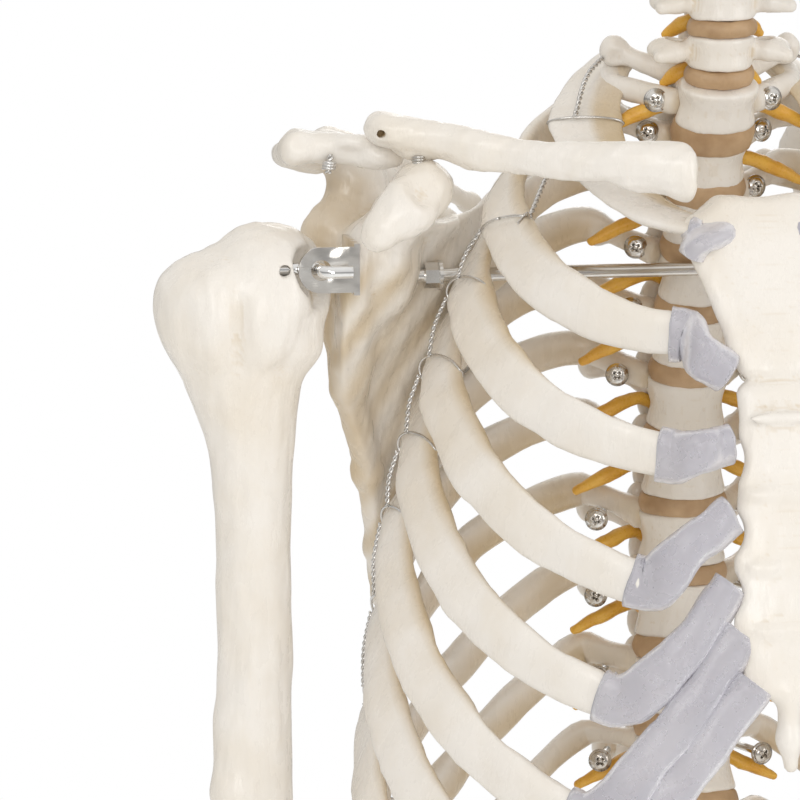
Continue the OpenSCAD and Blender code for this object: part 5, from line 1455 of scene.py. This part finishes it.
def skull_base():
    clay = Clay((-76, -96, 1594), (76, 100, 1716), 1.2)
    clay.put(VAULT_OUTSIDE, 1)
    ovals(clay.put, (0, 44, 1662, 54, 44, 30, 10), (0, -6, 1648, 30, 34, 13, 10))
    for s in (-1, 1):
        clay.put(oval((s * 47, -4, 1664), (18, 30, 20)), 12)
    clay.cut(VAULT_INSIDE, 1)
    # the face: a block, the bowls round the eyes, brow, cheeks, cheek arches, and the upper jaw
    clay.put(loft([(1614, 0, -57, 31, 26), (1622, 0, -57, 31, 26), (1636, 0, -54, 31, 24),
                   (1650, 0, -50, 34, 24), (1664, 0, -48, 38, 22), (1678, 0, -50, 40, 22)], end=4), 6)
    for s in (-1, 1):
        clay.put(oval((s * 30, -64, 1677), (22, 27, 20)), 6)
        chain(clay, [(s * 52, -54, 1690, 5), (s * 44, -65, 1697, 5), (s * 26, -77, 1697, 5.6),
                     (s * 6, -82, 1693, 6.5)], 7)
        chain(clay, [(s * 52, -54, 1690, 5), (s * 52, -55, 1674, 5), (s * 49, -58, 1660, 7.4)], 6)
        chain(clay, [(s * 48, -59, 1659, 7.6), (s * 36, -68, 1655, 7.4), (s * 24, -75, 1659, 5.2)], 6)
        chain(clay, [(s * 45, -59, 1652, 8), (s * 36, -64, 1643, 8.4), (s * 28, -64, 1630, 8)], 7)
        chain(clay, [(s * 51, -55, 1656, 6.4), (s * 60, -41, 1652, 4.6), (s * 65, -22, 1650, 3.9),
                     (s * 64, -4, 1653, 4), (s * 60, 8, 1657, 6)], 5)
        chain(clay, [(s * 13, -80, 1692, 5.6), (s * 13, -82, 1674, 4.6), (s * 18, -79, 1658, 5.4),
                     (s * 14, -78, 1640, 6)], 6)
        clay.put(cone((s * 56, 24, 1656), (s * 52, 20, 1632), 13, 7.5), 9)
        clay.put(cone((s * 18, -14, 1650), (s * 17, -24, 1628), 5, 3.4), 6)
        clay.put(oval((s * 17, NECK_Y + 2, 1633), (6, 10, 4)), 4)
    chain(clay, [(0, -80, 1696, 8), (0, -83, 1682, 7), (0, -86, 1671, 5.6)], 6)
    for s in (-1, 1):
        clay.put(oval((s * 7, -80, 1680), (7, 6.5, 17)), 5)
    clay.put(drum((0, NECK_Y, 1630), (0, NECK_Y, 1645), 19), 3)
    clay.put(oval((0, 84, 1672), (9, 9, 5)), 10)
    for s in (-1, 1):
        clay.cut(oval((s * 31, -72, 1677), (17, 25, 14.6), turned(Y, s * 8)), 3)
        clay.cut(cone((s * 31, -64, 1677), (s * 17, -42, 1678), 11, 3.4), 4)
        clay.cut(cone((s * 17, -46, 1678), (s * 12, -30, 1679), 2.6), 1)
        clay.cut(drum((s * 76, 9, 1650), (s * 54, 8, 1652), 3.4), 2)
        clay.cut(cone((s * 5.4, -96, 1649), (s * 5, -62, 1648), 6.6, 5), 3)
    clay.cut(cone((0, -98, 1656), (0, -62, 1654), 6, 5), 4)
    clay.put(slab((0, -70, 1652), (0.9, 12, 10), edge=0.8), 2)
    clay.cut(oval((0, -52, 1608), (21, 24, 13)), 4)
    teeth(clay, 1611, 1, -84, 28)
    for s in (-1, 1):
        clay.cut(cone((s * 27, -88, 1647), (s * 27, -74, 1646), 2.2, 1.5), 1.5)
        clay.cut(cone((s * 25, -94, 1701), (s * 25, -79, 1698), 1.5, 1.3), 1)
        for k in range(14):
            t = k / 13
            wave = 2.0 * math.sin(6.5 * k)
            turn = math.radians(18 + 62 * t)
            at = (s * 71.5 * math.cos(turn), 8 + 88.5 * math.sin(turn), 1704 - 22 * t + wave)
            bend = turned((math.cos(turn), math.sin(turn), 0), 50 * math.sin(2.3 * k))
            clay.cut(oval(at, (3.4, 3.4, 0.9), bend), 0.8)
    clay.cut(slab((0, 0, CUT_Z + 20), (90, 110, 20), edge=0.3), 0.3)
    clay.cut((lambda x, y, z: np.maximum(vault(x, y, z, -VAULT_T - 0.2), np.maximum(1650 - z, -26 - y)),
              *VAULT_BOX), 1)
    clay.cut(drum((0, NECK_Y, 1590), (0, NECK_Y, 1660), 5.8), 0.6)
    piece("skull_base_casting", clay.skin(7), "skull_base", ((0.4, 20), (0.12, 6)), "head", material="skull")


def skull_cap():
    clay = Clay((-76, -86, CUT_Z - 1), (76, 102, 1768), 1.2)
    clay.put(VAULT_OUTSIDE, 1)
    clay.cut(VAULT_INSIDE, 1)
    clay.cut(slab((0, 0, CUT_Z - 19.3), (90, 110, 20), edge=0.3), 0.3)
    # the wavy seams of the crown
    for k in range(44):
        t = k / 43
        wave = 1.6 * math.sin(2.1 * k) + 0.9 * math.sin(5.3 * k)
        a = math.radians(-88 + 176 * t)
        across = (VAULT_HALF[0] * math.sin(a) * 0.99, -22 + 10 * math.cos(a) + wave,
                  VAULT[2] + VAULT_HALF[2] * 0.94 * math.cos(a))
        clay.cut(oval(across, (2.6, 1.2, 2.6), turned(Z, 50 * math.sin(1.7 * k))), 0.8)
        y = -10 + 78 * t
        z = VAULT[2] + VAULT_HALF[2] * math.sqrt(max(1 - ((y - VAULT[1]) / VAULT_HALF[1])**2, 0))
        clay.cut(oval((wave, y, z), (1.2, 2.6, 2.2), turned(Z, 50 * math.sin(2.9 * k))), 0.8)
    piece("skull_cap_casting", clay.skin(6), "skull_cap", ((0.3, 24), (0.1, 7)), "cap", material="skull")


def mandible():
    clay = Clay((-58, -98, 1548), (58, 6, 1646), 0.9)
    for s in (-1, 1):
        chain(clay, [(s * 50, -5, 1636, 4.6), (s * 49, -8, 1626, 3.6), (s * 48, -15, 1606, 4.4),
                     (s * 46, -18, 1590, 4.6), (s * 45, -24, 1580, 4.8)], 5)
        clay.put(oval((s * 50, -5, 1637.5), (7.5, 4, 4)), 3)
        chain(clay, [(s * 47, -30, 1631, 2.6), (s * 47, -28, 1615, 3.4), (s * 46, -30, 1596, 4.4)], 5)
        clay.put(slab((s * 47, -21, 1600), (2.4, 10, 16), turned(X, 12), edge=2), 6)
        chain(clay, [(s * 45, -28, 1584, 6), (s * 40, -48, 1580, 6), (s * 30, -70, 1576, 6),
                     (s * 16, -82, 1573, 6), (0, -86, 1571, 6.4)], 5)
        chain(clay, [(s * 44, -34, 1592, 4.4), (s * 37, -52, 1590, 5), (s * 27, -71, 1589, 4.8),
                     (s * 12, -81, 1589, 4.4), (0, -83.5, 1589, 4.2)], 5)
        chain(clay, [(s * 45, -27, 1588, 5), (s * 40, -48, 1585, 6), (s * 29, -70.5, 1583, 6.4),
                     (s * 14, -81.5, 1581, 6.2), (0, -85, 1580, 6)], 5)
        clay.put(oval((s * 8, -89, 1565), (7, 4.4, 5)), 5)
        clay.cut(cone((s * 26, -86, 1577), (s * 25, -74, 1577), 1.8, 1.2), 1.2)
    clay.put(oval((0, -90, 1568), (7, 4.5, 7)), 6)
    teeth(clay, 1594, -1, -83.5, 27)
    piece("mandible_casting", clay.skin(4), "mandible", ((0.25, 12), (0.1, 5)), "jaw", material="skull")


def jaw_springs():
    """A coil spring on each side, with a hook loop at each end, set between the skull above and the jaw
    below.
    """
    low, high = vec(-56.5, -14, 1604.4), vec(-56.5, -14, 1641.6)
    rise = np.linspace(0, 1, 400)
    a = rise * 17 * 2 * math.pi
    coil = mix(low[None] + (0, 0, 5), high[None] - (0, 0, 5), rise[:, None])
    coil = coil + 1.75 * np.stack([np.cos(a), np.sin(a), 0 * a], 1)
    made = [sweep(coil, 0.42, 0.42, up=Z, sides=8)]
    for end, way in ((low, 1), (high, -1)):
        b = np.linspace(-0.5 * math.pi, 1.25 * math.pi, 22)
        loop = end + vec(0, 0, way * 2.3) + np.stack([0 * b, 1.8 * np.cos(b), way * 1.9 * np.sin(b)], 1)
        loop = np.vstack([loop, end + vec(1.6, 0.4, way * 5)])
        made.append(sweep(loop, 0.42, 0.42, up=(1, 0.02, 0.03), sides=8))
    spring = gather(made)
    for name, side, (points, faces, _) in (("right", -1, spring), ("left", 1, mirrored(spring))):
        spring = new_mesh(f"{name}_jaw_spring", points, faces, "wire")
        start, end = [tuple(vec(side * 56.5, -14, z) * MM) for z in (1607, 1640)]
        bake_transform(spring)
        if name == "right":
            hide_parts("jaw_springs")


# ---------- metal parts kept from the CAD ----------

def dress_cad():
    """Materials and slightly broken edges for the CAD parts that stay in sight."""
    slots = {row["node"]: row["material_slot"] for row in frame["record"]["subparts"]}
    for part in frame["nodes"].values():
        if part.hide_render:
            continue
        name = slots[part.name]
        part.data.materials.clear()
        part.data.materials.append(MATERIAL[name])
        if name in ("stand_paint", "bracket", "rubber"):
            soften = part.modifiers.new("edges", "BEVEL")
            soften.width = 0.0004 if name == "bracket" else 0.0012
            soften.segments = 2
            soften.limit_method = "ANGLE"


# ---------- room ----------

def area_light(name, at, aim, size, power, color):
    data = bpy.data.lights.new(name, "AREA")
    data.shape, data.size, data.energy, data.color = "DISK", size, power, color
    light = bpy.data.objects.new(name, data)
    light.location = at
    light.rotation_euler = (Vector(aim) - Vector(at)).to_track_quat("-Z", "Y").to_euler()
    bpy.context.scene.collection.objects.link(light)


def room():
    """A pale round floor, a white surround and soft studio lamps."""
    radius, sides = 4.2, 96
    turns = [2 * math.pi * i / sides for i in range(sides)]
    ring = [(radius * math.cos(a), radius * math.sin(a), 0) for a in turns]
    mesh = bpy.data.meshes.new("floor")
    mesh.from_pydata(ring, [], [tuple(range(sides))])
    floor = bpy.data.objects.new("floor", mesh)
    bpy.context.scene.collection.objects.link(floor)
    m, t, s = shader("floor", Roughness=0.6)
    place = node(t, "ShaderNodeTexCoord").outputs["Object"]
    tint = blend_color(t, noise(t, place, 3, 2).outputs[0], (0.94, 0.94, 0.93, 1), (0.9, 0.9, 0.89, 1))
    t.links.new(tint, s.inputs["Base Color"])
    mesh.materials.append(m)
    world = bpy.data.worlds.new("white")
    world.use_nodes = True
    tree = world.node_tree
    seen = node(tree, "ShaderNodeLightPath").outputs["Is Camera Ray"]
    lit = tree.nodes["Background"]
    lit.inputs["Strength"].default_value = 0.76
    way = node(tree, "ShaderNodeTexCoord").outputs["Generated"]
    up = node(tree, "ShaderNodeSeparateXYZ", {0: way}).outputs["Z"]
    ramp = node(tree, "ShaderNodeValToRGB", {"Fac": spread(tree, up, -1, 1)})
    stops = ramp.color_ramp.elements
    sky = ((0.0, 0.8), (0.42, 0.72), (0.5, 0.42), (0.56, 0.5), (0.62, 1.0), (1.0, 1.25))
    for i, (at, level) in enumerate(sky):
        stop = stops[i] if i < 2 else stops.new(at)
        stop.position, stop.color = at, (level, level * 0.985, level * 0.96, 1)
    tree.links.new(ramp.outputs["Color"], lit.inputs["Color"])
    backdrop = node(tree, "ShaderNodeBackground", {"Color": (1, 1, 1, 1), "Strength": 1.0})
    both = node(tree, "ShaderNodeMixShader", {0: seen, 1: lit.outputs[0], 2: backdrop.outputs[0]})
    tree.links.new(both.outputs[0], tree.nodes["World Output"].inputs["Surface"])
    bpy.context.scene.world = world
    bpy.context.scene.view_settings.view_transform = "Standard"
    area_light("key", (-1.5, -2.3, 2.7), (-0.1, 0, 1.3), 0.9, 9, (1, 0.985, 0.96))
    area_light("front", (-0.5, -2.7, 1.8), (-0.1, 0, 1.3), 1.1, 13, (1, 0.99, 0.97))
    area_light("fill", (1.9, -1.8, 1.6), (0, 0, 1.2), 1.4, 13, (1, 1, 1))
    area_light("back", (0.9, 2.6, 2.3), (0, 0, 1.2), 1.4, 7, (1, 0.99, 0.97))


def camera():
    """The photograph's view: the right shoulder from the front, through a long lens."""
    azimuth, elevation, distance = math.radians(-10), math.radians(9.5), 1.5
    aim = Vector((-0.1145, 0, 1.394))
    level = math.cos(elevation)
    back = Vector((math.sin(azimuth) * level, -math.cos(azimuth) * level, math.sin(elevation)))
    data = bpy.data.cameras.new("camera")
    data.lens, data.sensor_width = 191, 36
    data.clip_start, data.clip_end = 0.05, 60
    cam = bpy.data.objects.new("camera", data)
    cam.rotation_mode = "QUATERNION"
    cam.location = aim + back * distance
    cam.rotation_quaternion = (-back).to_track_quat("-Z", "Y")
    bpy.context.scene.collection.objects.link(cam)
    bpy.context.scene.camera = cam


for make in (camera, ribs, thoracic_vertebrae, lumbar_vertebrae, cervical_vertebrae, discs, nerves,
             sternum, cartilages, rib_screws, rib_wires, scapula, clavicle, clavicle_wires, humerus, ulna,
             radius_bone, hand, fingers, thumb, hip_bone, sacrum, pubic_symphysis, femur, patella, tibia,
             fibula, foot, toes, skull_base, skull_cap, mandible, jaw_springs, dress_cad, room):
    make()
